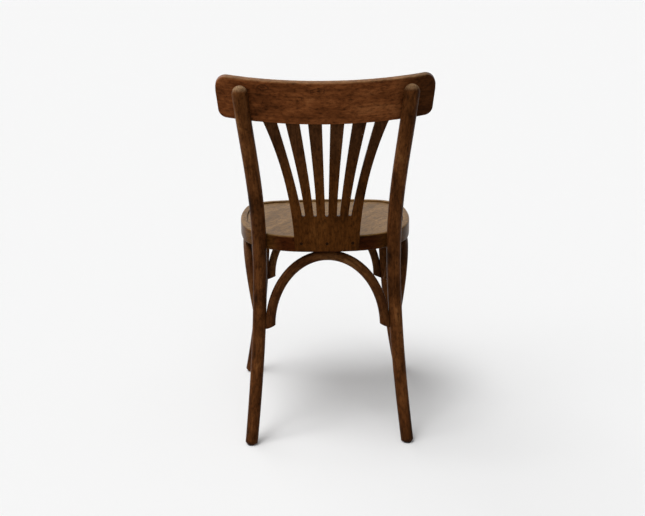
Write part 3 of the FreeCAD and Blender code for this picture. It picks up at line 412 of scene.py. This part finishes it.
def line_object(name, places):
    """A plain curve through the places, for a geometry tree to give it its thickness."""
    curve = bpy.data.curves.new(name + "_line", "CURVE")
    curve.dimensions = "3D"
    spline = curve.splines.new("POLY")
    spline.points.add(len(places) - 1)
    for point, place in zip(spline.points, places):
        point.co = (*metres(place), 1.0)
    made = bpy.data.objects.new(name + "_line", curve)
    bpy.context.scene.collection.objects.link(made)
    return made


def new_tree(name, sockets):
    """An empty geometry tree with a mesh coming in and out, and its named inputs."""
    tree = bpy.data.node_groups.new(name, "GeometryNodeTree")
    face = tree.interface
    face.new_socket("Geometry", in_out="INPUT", socket_type="NodeSocketGeometry")
    for socket, kind in sockets:
        face.new_socket(socket, in_out="INPUT", socket_type="NodeSocket" + kind)
    face.new_socket("Geometry", in_out="OUTPUT", socket_type="NodeSocketGeometry")
    entry = tree.nodes.new("NodeGroupInput")
    return tree, entry.outputs


def swept_rod(tree, inputs, curve, radius):
    """A closed round rod along a curve, with its grain's place stored on it."""
    length = add(tree, "GeometryNodeSplineParameter").node.outputs["Length"]
    for name, value in (("along", length), ("thickness", radius)):
        stored = {"Geometry": curve, "Name": name, "Value": value}
        curve = add(tree, STORE, stored, data_type="FLOAT", domain="POINT")
    profile = add(tree, CIRCLE, {"Resolution": inputs["Sides"], "Radius": 1.0})
    here = add(tree, POSITION)
    stored = {"Geometry": profile, "Name": "around", "Value": here}
    profile = add(tree, STORE, stored, data_type="FLOAT_VECTOR", domain="POINT")
    thickness = add(tree, STORED, {"Name": "thickness"}, data_type="FLOAT")
    sweep = {"Curve": curve, "Profile Curve": profile, "Scale": thickness, "Fill Caps": True}
    mesh = add(tree, SWEEP, sweep)
    along = add(tree, STORED, {"Name": "along"}, data_type="FLOAT")
    around = add(tree, STORED, {"Name": "around"}, data_type="FLOAT_VECTOR")
    around = add(tree, VECTOR_MATHS, {0: around, "Scale": thickness}, operation="SCALE")
    x, y = add(tree, SPLIT, (around,)).node.outputs[:2]
    place = add(tree, JOIN, (along, x, y))
    place = add(tree, VECTOR_MATHS, (place, inputs["Grain Start"]), operation="ADD")
    stored = {"Geometry": mesh, "Name": "grain_place", "Value": place}
    return add(tree, STORE, stored, data_type="FLOAT_VECTOR", domain="POINT")


def close_tree(tree, mesh, inputs):
    """Real geometry and the material at the tree's end."""
    mesh = add(tree, REALIZE, {"Geometry": mesh})
    mesh = add(tree, "GeometryNodeSetMaterial", {"Geometry": mesh, "Material": inputs["Material"]})
    add(tree, "NodeGroupOutput", {"Geometry": mesh})
    return tree


def smooth_rod(tree, mesh):
    """The rod with its doubles merged and its faces smooth."""
    mesh = add(tree, "GeometryNodeMergeByDistance", {"Geometry": mesh, "Distance": DOUBLE_DISTANCE})
    return add(tree, SMOOTH, {"Geometry": mesh})


def leg_tree():
    """A leg: a rod that widens from its foot, bevelled and cut flat below, domed above."""
    tree, inputs = new_tree("turned_leg", [
        ("Sides", "Int"), ("Foot Radius", "Float"), ("Middle Radius", "Float"), ("Top Radius", "Float"),
        ("Middle Height", "Float"), ("Top Height", "Float"), ("Tip Radius", "Float"),
        ("Dome Radius", "Float"), ("Floor Level", "Float"), ("Grain Start", "Vector"),
        ("Material", "Material"),
    ])
    height = add(tree, SPLIT, (add(tree, POSITION),)).node.outputs["Z"]
    lower = add(tree, MAP_RANGE, {
        "Value": height, "From Min": 0.0, "From Max": inputs["Middle Height"],
        "To Min": inputs["Foot Radius"], "To Max": inputs["Middle Radius"],
    })
    gain = add(tree, MATHS, (inputs["Top Radius"], inputs["Middle Radius"]), operation="SUBTRACT")
    upper = add(tree, MAP_RANGE, {
        "Value": height, "From Min": inputs["Middle Height"], "From Max": inputs["Top Height"],
        "To Min": 0.0, "To Max": gain,
    })
    radius = add(tree, MATHS, (lower, upper), operation="ADD")
    from_foot = add(tree, "GeometryNodeSplineParameter").node.outputs["Length"]
    bevel = add(tree, MATHS, (from_foot, inputs["Tip Radius"]), operation="ADD")
    radius = add(tree, MATHS, (radius, bevel), operation="MINIMUM")
    to_end = add(tree, MATHS, (add(tree, "GeometryNodeSplineLength"), from_foot), operation="SUBTRACT")
    dome = add(tree, MATHS, (inputs["Dome Radius"], SMALLEST_DOME), operation="MAXIMUM")
    share = add(tree, MATHS, (to_end, dome), operation="DIVIDE")
    into_dome = add(tree, MATHS, (1.0, share), operation="SUBTRACT")
    into_dome = add(tree, MATHS, (into_dome, 0.0), operation="MAXIMUM")
    square = add(tree, MATHS, (into_dome, into_dome), operation="MULTIPLY")
    left = add(tree, MATHS, (1.0, square), operation="SUBTRACT")
    left = add(tree, MATHS, (left, SMALLEST_SHARE), operation="MAXIMUM")
    closing = add(tree, MATHS, (left,), operation="SQRT")
    loss = add(tree, MATHS, (closing, 1.0), operation="SUBTRACT")
    has_dome = add(tree, MATHS, (inputs["Dome Radius"], 0.0), operation="GREATER_THAN")
    closing = add(tree, MATHS, (has_dome, loss, 1.0), operation="MULTIPLY_ADD")
    radius = add(tree, MATHS, (radius, closing), operation="MULTIPLY")
    rod = swept_rod(tree, inputs, inputs["Geometry"], radius)
    x, y, z = add(tree, SPLIT, (add(tree, POSITION),)).node.outputs
    flat = add(tree, MATHS, (z, inputs["Floor Level"]), operation="MAXIMUM")
    cut = add(tree, JOIN, (x, y, flat))
    rod = add(tree, MOVE, {"Geometry": rod, "Position": cut})
    return close_tree(tree, smooth_rod(tree, rod), inputs)


def bow_tree():
    """A bow: a rod of one thickness, whose two ends are cut on the slant with a softened edge."""
    tree, inputs = new_tree("bent_bow", [
        ("Sides", "Int"), ("Radius", "Float"), ("Middle", "Vector"), ("Across", "Vector"),
        ("Up", "Vector"), ("Half Span", "Float"), ("Slant", "Float"), ("End Rounding", "Float"),
        ("End Height", "Float"), ("Grain Start", "Vector"), ("Material", "Material"),
    ])
    rod = swept_rod(tree, inputs, inputs["Geometry"], inputs["Radius"])
    where = add(tree, POSITION)
    apart = add(tree, VECTOR_MATHS, (where, inputs["Middle"]), operation="SUBTRACT")
    sideways = add(tree, VECTOR_MATHS, (apart, inputs["Across"]), operation="DOT_PRODUCT")
    sideways = add(tree, MATHS, (sideways,), operation="ABSOLUTE")
    height = add(tree, VECTOR_MATHS, (apart, inputs["Up"]), operation="DOT_PRODUCT")
    inward = add(tree, MATHS, (inputs["Half Span"], sideways), operation="SUBTRACT")
    slope = add(tree, MATHS, (inputs["Slant"],), operation="TANGENT")
    plane = add(tree, MATHS, (inward, slope), operation="MULTIPLY")
    kept = add(tree, MATHS, (height, plane, inputs["End Rounding"]), operation="SMOOTH_MAX")
    rise = add(tree, MATHS, (kept, height), operation="SUBTRACT")
    lift = add(tree, VECTOR_MATHS, {0: inputs["Up"], "Scale": rise}, operation="SCALE")
    near_end = add(tree, MATHS, (height, inputs["End Height"]), operation="LESS_THAN")
    rod = add(tree, MOVE, {"Geometry": rod, "Selection": near_end, "Offset": lift})
    return close_tree(tree, smooth_rod(tree, rod), inputs)


def fastener_tree():
    """A screw or a plug at each place, driven the way the place says."""
    tree, inputs = new_tree("driven_fastener", [
        ("Sides", "Int"), ("Rings", "Int"), ("Length", "Float"), ("Shank Radius", "Float"),
        ("Head Radius", "Float"), ("Head Height", "Float"), ("Edge Rounding", "Float"),
        ("Point Length", "Float"), ("Plain Length", "Float"), ("Thread Pitch", "Float"),
        ("Thread Depth", "Float"), ("Slot Width", "Float"), ("Slot Depth", "Float"),
        ("Material", "Material"),
    ])
    body = threaded(tree, inputs, turned_body(tree, inputs))
    width = (inputs["Slot Width"], NEXT_TO_NOTHING)
    has_slot = add(tree, COMPARE, width, data_type="FLOAT", operation="GREATER_THAN")
    choice = {"Switch": has_slot, "False": body, "True": slotted(tree, inputs, body)}
    body = add(tree, "GeometryNodeSwitch", choice, input_type="GEOMETRY")
    way = add(tree, STORED, {"Name": "driven_way"}, data_type="FLOAT_VECTOR")
    outward = add(tree, VECTOR_MATHS, {0: way, "Scale": -1.0}, operation="SCALE")
    turned = add(tree, "FunctionNodeAlignRotationToVector", {"Vector": outward}, axis="Z")
    driven = {"Points": inputs["Geometry"], "Instance": body, "Rotation": turned}
    whole = add(tree, "GeometryNodeInstanceOnPoints", driven)
    whole = add(tree, REALIZE, {"Geometry": whole})
    angle = (add(tree, "GeometryNodeInputMeshEdgeAngle"), SHARP_EDGE)
    sharp = add(tree, COMPARE, angle, data_type="FLOAT", operation="GREATER_THAN")
    whole = add(tree, SMOOTH, {"Geometry": whole})
    creased = {"Geometry": whole, "Selection": sharp, "Shade Smooth": False}
    whole = add(tree, SMOOTH, creased, domain="EDGE")
    return close_tree(tree, whole, inputs)


def turned_body(tree, inputs):
    """The fastener as if turned on a lathe: a head with a rounded rim, a shank and a tapered point."""
    top = add(tree, JOIN, (0.0, 0.0, inputs["Head Height"]))
    end = add(tree, MATHS, (inputs["Length"], -1.0), operation="MULTIPLY")
    ends = {"Start": top, "End": add(tree, JOIN, (0.0, 0.0, end))}
    line = add(tree, "GeometryNodeCurvePrimitiveLine", ends, mode="POINTS")
    line = add(tree, "GeometryNodeResampleCurve", {"Curve": line, "Count": inputs["Rings"]})
    height = add(tree, SPLIT, (add(tree, POSITION),)).node.outputs["Z"]
    to_top = add(tree, MATHS, (inputs["Head Height"], height), operation="SUBTRACT")
    near_rim = add(tree, MATHS, (inputs["Edge Rounding"], to_top), operation="SUBTRACT")
    near_rim = add(tree, MATHS, (near_rim, 0.0), operation="MAXIMUM")
    square = add(tree, MATHS, (near_rim, near_rim), operation="MULTIPLY")
    drawn_in = add(tree, MATHS, (square, inputs["Edge Rounding"]), operation="DIVIDE")
    head = add(tree, MATHS, (inputs["Head Radius"], drawn_in), operation="SUBTRACT")
    to_tip = add(tree, MATHS, (height, inputs["Length"]), operation="ADD")
    share = add(tree, MATHS, (to_tip, inputs["Point Length"]), operation="DIVIDE")
    taper = add(tree, MATHS, (share, 1.0 - TIP_SHARE, TIP_SHARE), operation="MULTIPLY_ADD")
    taper = add(tree, MATHS, (taper, 1.0), operation="MINIMUM")
    shank = add(tree, MATHS, (inputs["Shank Radius"], taper), operation="MULTIPLY")
    is_head = add(tree, MATHS, (height, -NEXT_TO_NOTHING), operation="GREATER_THAN")
    wider = add(tree, MATHS, (head, shank), operation="SUBTRACT")
    radius = add(tree, MATHS, (is_head, wider, shank), operation="MULTIPLY_ADD")
    profile = add(tree, CIRCLE, {"Resolution": inputs["Sides"], "Radius": 1.0})
    sweep = {"Curve": line, "Profile Curve": profile, "Scale": radius, "Fill Caps": True}
    return add(tree, SWEEP, sweep)


def threaded(tree, inputs, body):
    """The body with a thread cut round its shank, below the plain length."""
    x, y, z = add(tree, SPLIT, (add(tree, POSITION),)).node.outputs
    turn = add(tree, MATHS, (y, x), operation="ARCTAN2")
    turn = add(tree, MATHS, (turn, 2 * math.pi), operation="DIVIDE")
    pitches = add(tree, MATHS, (z, inputs["Thread Pitch"]), operation="DIVIDE")
    phase = add(tree, MATHS, (turn, pitches), operation="ADD")
    phase = add(tree, MATHS, (phase,), operation="FRACT")
    valley = add(tree, MATHS, (phase, 2.0, -1.0), operation="MULTIPLY_ADD")
    valley = add(tree, MATHS, (valley,), operation="ABSOLUTE")
    thread_start = add(tree, MATHS, (inputs["Plain Length"], -1.0), operation="MULTIPLY")
    below = add(tree, MATHS, (z, thread_start), operation="LESS_THAN")
    depth = add(tree, MATHS, (inputs["Thread Depth"], inputs["Shank Radius"]), operation="DIVIDE")
    depth = add(tree, MATHS, (depth, below), operation="MULTIPLY")
    cut = add(tree, MATHS, (valley, depth), operation="MULTIPLY")
    kept = add(tree, MATHS, (1.0, cut), operation="SUBTRACT")
    here = add(tree, JOIN, (x, y, z))
    shares = add(tree, JOIN, (kept, kept, 1.0))
    drawn_in = add(tree, VECTOR_MATHS, (here, shares), operation="MULTIPLY")
    return add(tree, MOVE, {"Geometry": body, "Position": drawn_in})


def slotted(tree, inputs, body):
    """The body with the driver's slot cut across its head."""
    length = add(tree, MATHS, (inputs["Head Radius"], 3.0), operation="MULTIPLY")
    height = add(tree, MATHS, (inputs["Slot Depth"], 2.0), operation="MULTIPLY")
    size = add(tree, JOIN, (length, inputs["Slot Width"], height))
    blade = add(tree, "GeometryNodeMeshCube", {"Size": size})
    top = add(tree, JOIN, (0.0, 0.0, inputs["Head Height"]))
    blade = add(tree, "GeometryNodeTransform", {"Geometry": blade, "Translation": top})
    cut = {"Mesh 1": body, "Mesh 2": blade}
    return add(tree, "GeometryNodeMeshBoolean", cut, operation="DIFFERENCE", solver="EXACT")


def driven_places(name, places):
    """A mesh of bare points, each with the way in which its fastener is driven."""
    mesh = bpy.data.meshes.new(name + "_places")
    mesh.from_pydata([metres(place) for place, way in places], [], [])
    ways = mesh.attributes.new("driven_way", "FLOAT_VECTOR", "POINT")
    for item, (place, way) in zip(ways.data, places):
        item.vector = way
    made = bpy.data.objects.new(name + "_places", mesh)
    bpy.context.scene.collection.objects.link(made)
    return made


def both_ways(places):
    """Places on the chair's left, and the same places on its right."""
    right = [((-place[0], *place[1:]), (-way[0], *way[1:])) for place, way in places]
    return places + right


# Where each fastener's head or plug sits, and the way in which it is driven
SPLAT_PLUG_PLACES = [
    ((0.0, 213.8, 446.0), (0.0, -1.0, 0.0)),
    ((57.71, 210.23, 446.0), (-0.1234, -0.9924, 0.0)),
    ((-57.71, 210.23, 446.0), (0.1234, -0.9924, 0.0)),
]
RAIL_PLUG_PLACES = both_ways([
    ((172.64, 196.98, 752.0), (0.3305, 0.91, -0.2503)),
    ((172.64, 208.65, 794.42), (0.3305, 0.91, -0.2503)),
])
BOW_END_SCREW_PLACES = both_ways([
    ((123.06, 202.92, 266.42), (1.0, 0.0, 0.0)),
    ((132.15, -165.12, 275.75), (1.0, 0.0, 0.0)),
    ((160.33, 170.83, 273.73), (-0.0172, 0.9999, 0.0)),
    ((165.54, -131.41, 273.73), (0.0172, -0.9999, 0.0)),
])
BOW_TOP_SCREW_PLACES = [
    ((0.0, 189.0, 405.3), (0.0, 0.0, 1.0)),
    ((0.0, -189.0, 407.8), (0.0, 0.0, 1.0)),
    ((188.11, 19.66, 407.8), (0.0, 0.0, 1.0)),
    ((-188.11, 19.66, 407.8), (0.0, 0.0, 1.0)),
]


def under_plugs(places):
    """The places of the screw heads that the plugs cover."""
    return [(tuple(Vector(place) + Vector(way) * SCREW_HEAD_DEPTH), way) for place, way in places]


def make_fasteners(tree, plug_material, screw_material):
    """The screws and the plugs, each kind one piece, in place of the part's own."""
    # name: (places, length, shank's or plug's radius, head's radius, whether it is a screw)
    kinds = {
        "splat_plugs": (SPLAT_PLUG_PLACES, 2.5, 3.5, 0.0, False),
        "rail_plugs": (RAIL_PLUG_PLACES, 2.5, 4.5, 0.0, False),
        "splat_screws": (under_plugs(SPLAT_PLUG_PLACES), 18.0, 2.25, 3.0, True),
        "rail_screws": (under_plugs(RAIL_PLUG_PLACES), 30.0, 2.25, 4.0, True),
        "bow_end_screws": (BOW_END_SCREW_PLACES, 28.0, 2.25, 4.25, True),
        "bow_top_screws": (BOW_TOP_SCREW_PLACES, 30.0, 2.25, 4.25, True),
    }
    for name, (places, length, shank, head, is_screw) in kinds.items():
        values = {
            "Sides": 24 if is_screw else 40,
            "Rings": int((length + SCREW_HEAD_HEIGHT) / SCREW_RING_SPACING) + 1 if is_screw else 9,
            "Length": length * MM,
            "Shank Radius": shank * MM,
            "Head Radius": head * MM if is_screw else shank * MM,
            "Head Height": SCREW_HEAD_HEIGHT * MM if is_screw else 0.0,
            "Edge Rounding": 0.6 * MM,
            "Point Length": 5.0 * MM if is_screw else 0.0001 * MM,
            "Plain Length": length / 3 * MM if is_screw else length * 2 * MM,
            "Thread Pitch": 1.8 * MM,
            "Thread Depth": 0.55 * MM,
            "Slot Width": 1.2 * MM if is_screw else 0.0,
            "Slot Depth": 1.4 * MM,
            "Material": screw_material if is_screw else plug_material,
        }
        piece = grown("driven_" + name, driven_places(name, places), tree, values)
        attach(piece, "root")
        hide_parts(name)


def grown(name, source, tree, values):
    """The mesh that a geometry tree makes of an object, as a plain piece at the origin."""
    modifier = source.modifiers.new("shape", "NODES")
    modifier.node_group = tree
    for item in tree.interface.items_tree:
        if item.item_type == "SOCKET" and item.in_out == "INPUT" and item.name in values:
            modifier[item.identifier] = values[item.name]
    source.update_tag()
    evaluated = source.evaluated_get(bpy.context.evaluated_depsgraph_get())
    mesh = bpy.data.meshes.new_from_object(evaluated, depsgraph=bpy.context.evaluated_depsgraph_get())
    source.modifiers.remove(modifier)
    bpy.data.objects.remove(source)
    mesh.name = name
    piece = bpy.data.objects.new(name, mesh)
    bpy.context.scene.collection.objects.link(piece)
    return piece


def stands_for(piece, *nodes):
    """The piece rides on the chair and is shown instead of the nodes."""
    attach(piece, "root")
    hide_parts(*nodes)


def mirrored_places(places):
    """The same places on the chair's other side."""
    return [Vector((-place.x, place.y, place.z)) for place in places]


def make_legs(tree, material):
    """The four legs, in place of the part's own."""
    kinds = {
        "rear_leg": (REAR_LEG_STATIONS, REAR_LEG_DIAMETERS, REAR_LEG_DIAMETERS[-1][1] / 2),
        "front_leg": (FRONT_LEG_STATIONS, FRONT_LEG_DIAMETERS, 0.0),
    }
    for number, (kind, (stations, diameters, dome)) in enumerate(kinds.items()):
        places = rod_places(stations, dome)
        for side, line in (("left", places), ("right", mirrored_places(places))):
            middle_height, middle_diameter = diameters[1]
            top_height, top_diameter = diameters[-1]
            name = f"{kind}_{side}"
            values = {
                "Sides": 64,
                "Foot Radius": diameters[0][1] / 2 * MM,
                "Middle Radius": middle_diameter / 2 * MM,
                "Top Radius": top_diameter / 2 * MM,
                "Middle Height": middle_height * MM,
                # a front leg has one taper, so its second one is next to nothing long
                "Top Height": (top_height + 0.01 * (dome == 0.0)) * MM,
                "Tip Radius": FOOT_TIP_RADIUS * MM,
                "Dome Radius": dome * MM,
                "Floor Level": GLIDE_HEIGHT * MM,
                "Grain Start": (1.3 * number + (0.7 if side == "left" else 3.1), 0.4 * number, 0.9),
                "Material": material,
            }
            stands_for(grown("bent_" + name, line_object(name, line), tree, values), name)


def make_bows(tree, material):
    """The four bows under the seat, in place of the part's own."""
    right = dict(SIDE_BOW)
    right["ends"] = tuple((-x, y, z) for x, y, z in SIDE_BOW["ends"])
    right["crown"] = (-SIDE_BOW["crown"][0], *SIDE_BOW["crown"][1:])
    bows = {
        "rear_bow": REAR_BOW, "front_bow": FRONT_BOW,
        "side_bow_left": SIDE_BOW, "side_bow_right": right,
    }
    for number, (name, bow) in enumerate(bows.items()):
        places, middle, across, up, half_span = bow_places(bow)
        values = {
            "Sides": 48,
            "Radius": bow["diameter"] / 2 * MM,
            "Middle": metres(middle),
            "Across": across,
            "Up": up,
            "Half Span": half_span * MM,
            "Slant": BOW_END_SLANT,
            "End Rounding": BOW_END_ROUNDING * MM,
            "End Height": BOW_END_HEIGHT * MM,
            "Grain Start": (5.2 + 1.7 * number, 0.3 * number, 2.0),
            "Material": material,
        }
        stands_for(grown("bent_" + name, line_object(name, places), tree, values), name)


def set_material(node, material):
    """A piece that is shown as the part has it, in its material."""
    mesh = NODES[node].data
    mesh.materials.clear()
    mesh.materials.append(material)


def plain_material(name, colour, metallic=0.0, roughness=0.5):
    """A material of one colour, for a recipe to build on."""
    material = bpy.data.materials.new(name)
    material.use_nodes = True
    shader = material.node_tree.nodes["Principled BSDF"]
    shader.inputs["Base Color"].default_value = linear(colour)
    shader.inputs["Metallic"].default_value = metallic
    shader.inputs["Roughness"].default_value = roughness
    return material


def zinc_steel():
    """Cold-headed steel under bright zinc that has dulled.

    A grey metal, clouded a few millimetres across and finely scratched by the driver and the spanner.
    """
    material = plain_material("zinc_plated_steel", "#8F8C86", metallic=1.0, roughness=0.4)
    tree = material.node_tree
    shader = tree.nodes["Principled BSDF"]
    place = object_place(tree)
    clouds = streaks(tree, place, 260.0, 260.0, detail=4.0, roughness=0.6)
    colour = add(tree, RAMP, (clouds,), stops=((0.30, "#5F5A52"), (0.50, "#8A867F"), (0.70, "#A7A39B")))
    tree.links.new(colour, shader.inputs["Base Color"])
    scratches = streaks(tree, place, 900.0, 5200.0, detail=2.0)
    rough = add(tree, MATHS, (scratches, 0.16, 0.14), operation="MULTIPLY_ADD")
    rough = add(tree, MATHS, (clouds, 0.28, rough), operation="MULTIPLY_ADD")
    tree.links.new(rough, shader.inputs["Roughness"])
    bump = add(tree, BUMP, {"Height": scratches, "Strength": 0.12, "Distance": 0.0001})
    tree.links.new(bump, shader.inputs["Normal"])
    return material


def moulded_glide():
    """Black polypropylene, moulded with a fine matt texture and scuffed grey by the floor."""
    material = plain_material("black_moulded_polypropylene", "#151413", roughness=0.5)
    tree = material.node_tree
    shader = tree.nodes["Principled BSDF"]
    shader.inputs["IOR"].default_value = 1.49
    place = object_place(tree)
    scuffs = streaks(tree, place, 420.0, 700.0, detail=5.0, roughness=0.7)
    colour = add(tree, RAMP, (scuffs,), stops=((0.38, "#100F0E"), (0.58, "#1D1B1A"), (0.72, "#383532")))
    tree.links.new(colour, shader.inputs["Base Color"])
    rough = add(tree, MATHS, (scuffs, 0.35, 0.36), operation="MULTIPLY_ADD")
    tree.links.new(rough, shader.inputs["Roughness"])
    grains = streaks(tree, place, 3000.0, 3000.0, detail=1.0)
    bump = add(tree, BUMP, {"Height": grains, "Strength": 0.2, "Distance": 0.00008})
    tree.links.new(bump, shader.inputs["Normal"])
    return material


def plug_grain(tree):
    """Plugs are cut across the board, so the grain on their faces runs with the rail or the splat."""
    return object_place(tree)


# The rail's bend: a place on its axis, its lean, and its radius and the ring's in metres
RAIL_AXIS = (0.0, -0.32608, 0.90395)
RAIL_LEAN = math.radians(15.377)
RAIL_BEND = 0.53
RING_BEND = 0.19


def rail_grain(tree):
    """The rail's grain follows its bend, which leans back with the rail."""
    place = object_place(tree, RAIL_AXIS, (-RAIL_LEAN, 0.0, 0.0))
    return ring_place(tree, place, RAIL_BEND)


def ring_grain(tree):
    """The ring's grain follows its bend round the seat."""
    place = object_place(tree, tuple(SEAT_MIDDLE * MM))
    return ring_place(tree, place, RING_BEND)


def splat_grain(tree):
    """The splat's grain runs upwards, along its slats."""
    return object_place(tree, turn=(0.0, math.radians(90.0), 0.0))


def panel_grain(tree):
    """The panel's face veneer is laid a little askew, so its grain runs slantwise over the seat."""
    return object_place(tree, turn=(0.0, 0.0, math.radians(60.0)))


leg_wood = stained_wood("leg_stained_lacquered_beech", stored_place, LEG_TONES,
                        [(leg_dome_wear_and_highlight, DOME_WEAR_AND_HIGHLIGHT_TONES)])
bow_wood = stained_wood("bow_stained_lacquered_beech", stored_place, BOW_TONES)
rail_wood = stained_wood("rail_stained_lacquered_beech", rail_grain, RAIL_TONES,
                         [(rail_end_painted_shade, RAIL_END_SHADED_TONES), (rail_top_edge_painted_highlight, RAIL_EDGE_HIGHLIGHT_TONES)], [rail_swirls])
ring_wood = stained_wood("ring_stained_lacquered_beech", ring_grain, RING_TONES,
                         [(ring_rear, RING_REAR_TONES), (ring_top_painted_sheen, SEAT_PALE_AND_SHEEN_TONES)])
splat_wood = stained_wood("splat_stained_lacquered_plywood", splat_grain, SPLAT_TONES,
                          [(splat_head_painted_shade, SPLAT_HEAD_SHADED_TONES)])
# The panel's pale tones are partly its veneer's own, partly painted sheen
panel_wood = stained_wood("panel_stained_lacquered_plywood", panel_grain, SEAT_PALE_AND_SHEEN_TONES)
plug_wood = stained_wood("plug_dark_stained_beech", plug_grain, PLUG_TONES, gloss=0.45)
steel = zinc_steel()
glide_plastic = moulded_glide()

make_legs(leg_tree(), leg_wood)
make_bows(bow_tree(), bow_wood)
make_fasteners(fastener_tree(), plug_wood, steel)
for node, material in {
    "back_rail": rail_wood,
    "seat_ring": ring_wood,
    "back_splat": splat_wood,
    "seat_panel": panel_wood,
    "leg_bolts": steel,
    "leg_washers": steel,
    "glide_nails": steel,
    "glide_rear_left": glide_plastic,
    "glide_rear_right": glide_plastic,
    "glide_front_left": glide_plastic,
    "glide_front_right": glide_plastic,
}.items():
    set_material(node, material)


# The studio: its two pale greys, its even light and its lamps
BACKDROP_COLOUR = "#F5F5F5"
FLOOR_COLOUR = "#B8B8B6"
ROOM_LIGHT = 0.26
LAMPS = {
    # name: (towards the lamp, strength, width in degrees)
    "overhead_lamp": ((0.30, 0.0, 1.0), 1.05, 30.0),
    "near_sky_panel": ((0.45, 0.85, 0.55), 1.10, 90.0),
    "near_left_lamp": ((0.35, 0.40, 1.00), 0.38, 22.0),
    "left_panel": ((0.95, -0.10, 0.40), 0.80, 70.0),
    "far_left_lamp": ((0.50, -0.75, 0.50), 0.50, 36.0),
}
FLOOR_HALF_WIDTH = 60.0

# The camera: its turns in degrees, its place in millimetres about the seat's middle, its lens in pixels
CAMERA_TURNS = (-0.89141, 15.32344, -0.58523)
CAMERA_PLACE = (45.18, 2440.41, 1023.61)
LENS_LENGTH = 1028.897
IMAGE_WIDTH = 645
SENSOR_WIDTH = 36.0


def seen_directly(tree):
    """One where the background is seen by the camera, or in a reflection or through glass."""
    path = add(tree, "ShaderNodeLightPath").node.outputs
    seen = add(tree, MATHS, (path["Is Camera Ray"], path["Is Glossy Ray"]), operation="MAXIMUM")
    return add(tree, MATHS, (seen, path["Is Transmission Ray"]), operation="MAXIMUM")


def make_floor():
    """A pale sweep of floor, large enough to fill the view to its horizon."""
    mesh = bpy.data.meshes.new("studio_floor")
    half = FLOOR_HALF_WIDTH
    corners = [(-half, -half, 0), (half, -half, 0), (half, half, 0), (-half, half, 0)]
    mesh.from_pydata(corners, [], [(0, 1, 2, 3)])
    floor = bpy.data.objects.new("studio_floor", mesh)
    bpy.context.scene.collection.objects.link(floor)
    material = plain_material("matt_white_studio_floor", BACKDROP_COLOUR, roughness=0.9)
    tree = material.node_tree
    shader = tree.nodes["Principled BSDF"]
    shader.inputs["Specular IOR Level"].default_value = 0.0
    shades = {SHARE: seen_directly(tree), UNDER: linear(FLOOR_COLOUR), OVER: linear(BACKDROP_COLOUR)}
    colour = add(tree, MIX, shades, data_type="RGBA")
    tree.links.new(colour, shader.inputs["Base Color"])
    mesh.materials.append(material)


def make_lights():
    """A pale room of even light, with wide soft lamps above, to the left and behind."""
    world = bpy.data.worlds.new("pale_studio")
    bpy.context.scene.world = world
    world.use_nodes = True
    tree = world.node_tree
    background = tree.nodes["Background"]
    reach = {"Value": seen_directly(tree), "To Min": ROOM_LIGHT, "To Max": 1.0}
    strength = add(tree, MAP_RANGE, reach)
    background.inputs["Color"].default_value = linear(BACKDROP_COLOUR)
    tree.links.new(strength, background.inputs["Strength"])
    for name, (way, strength, width) in LAMPS.items():
        lamp = bpy.data.lights.new(name, "SUN")
        lamp.energy = strength
        lamp.angle = math.radians(width)
        holder = bpy.data.objects.new(name, lamp)
        holder.rotation_euler = Vector(way).to_track_quat("Z", "Y").to_euler()
        bpy.context.scene.collection.objects.link(holder)


def make_camera():
    """The photograph's viewpoint: behind the chair, about a metre up, looking slightly down."""
    yaw, pitch, roll = (math.radians(turn) for turn in CAMERA_TURNS)
    forward = Vector((math.sin(yaw), -math.cos(yaw), 0.0))
    right = Vector((-math.cos(yaw), -math.sin(yaw), 0.0))
    down_forward = forward * math.cos(pitch) - Vector((0, 0, 1)) * math.sin(pitch)
    tilted_up = forward * math.sin(pitch) + Vector((0, 0, 1)) * math.cos(pitch)
    rolled_right = right * math.cos(roll) + tilted_up * math.sin(roll)
    rolled_up = tilted_up * math.cos(roll) - right * math.sin(roll)
    lens = bpy.data.cameras.new("photo_camera")
    lens.sensor_width = SENSOR_WIDTH
    lens.lens = LENS_LENGTH / IMAGE_WIDTH * SENSOR_WIDTH
    lens.clip_end = 200.0
    holder = bpy.data.objects.new("photo_camera", lens)
    matrix = Matrix.Identity(4)
    for column, way in enumerate((rolled_right, rolled_up, -down_forward)):
        for row in range(3):
            matrix[row][column] = way[row]
    matrix.translation = metres(CAMERA_PLACE)
    holder.matrix_world = matrix
    bpy.context.scene.collection.objects.link(holder)
    bpy.context.scene.camera = holder


make_floor()
make_lights()
make_camera()
bpy.context.scene.view_settings.view_transform = "Standard"
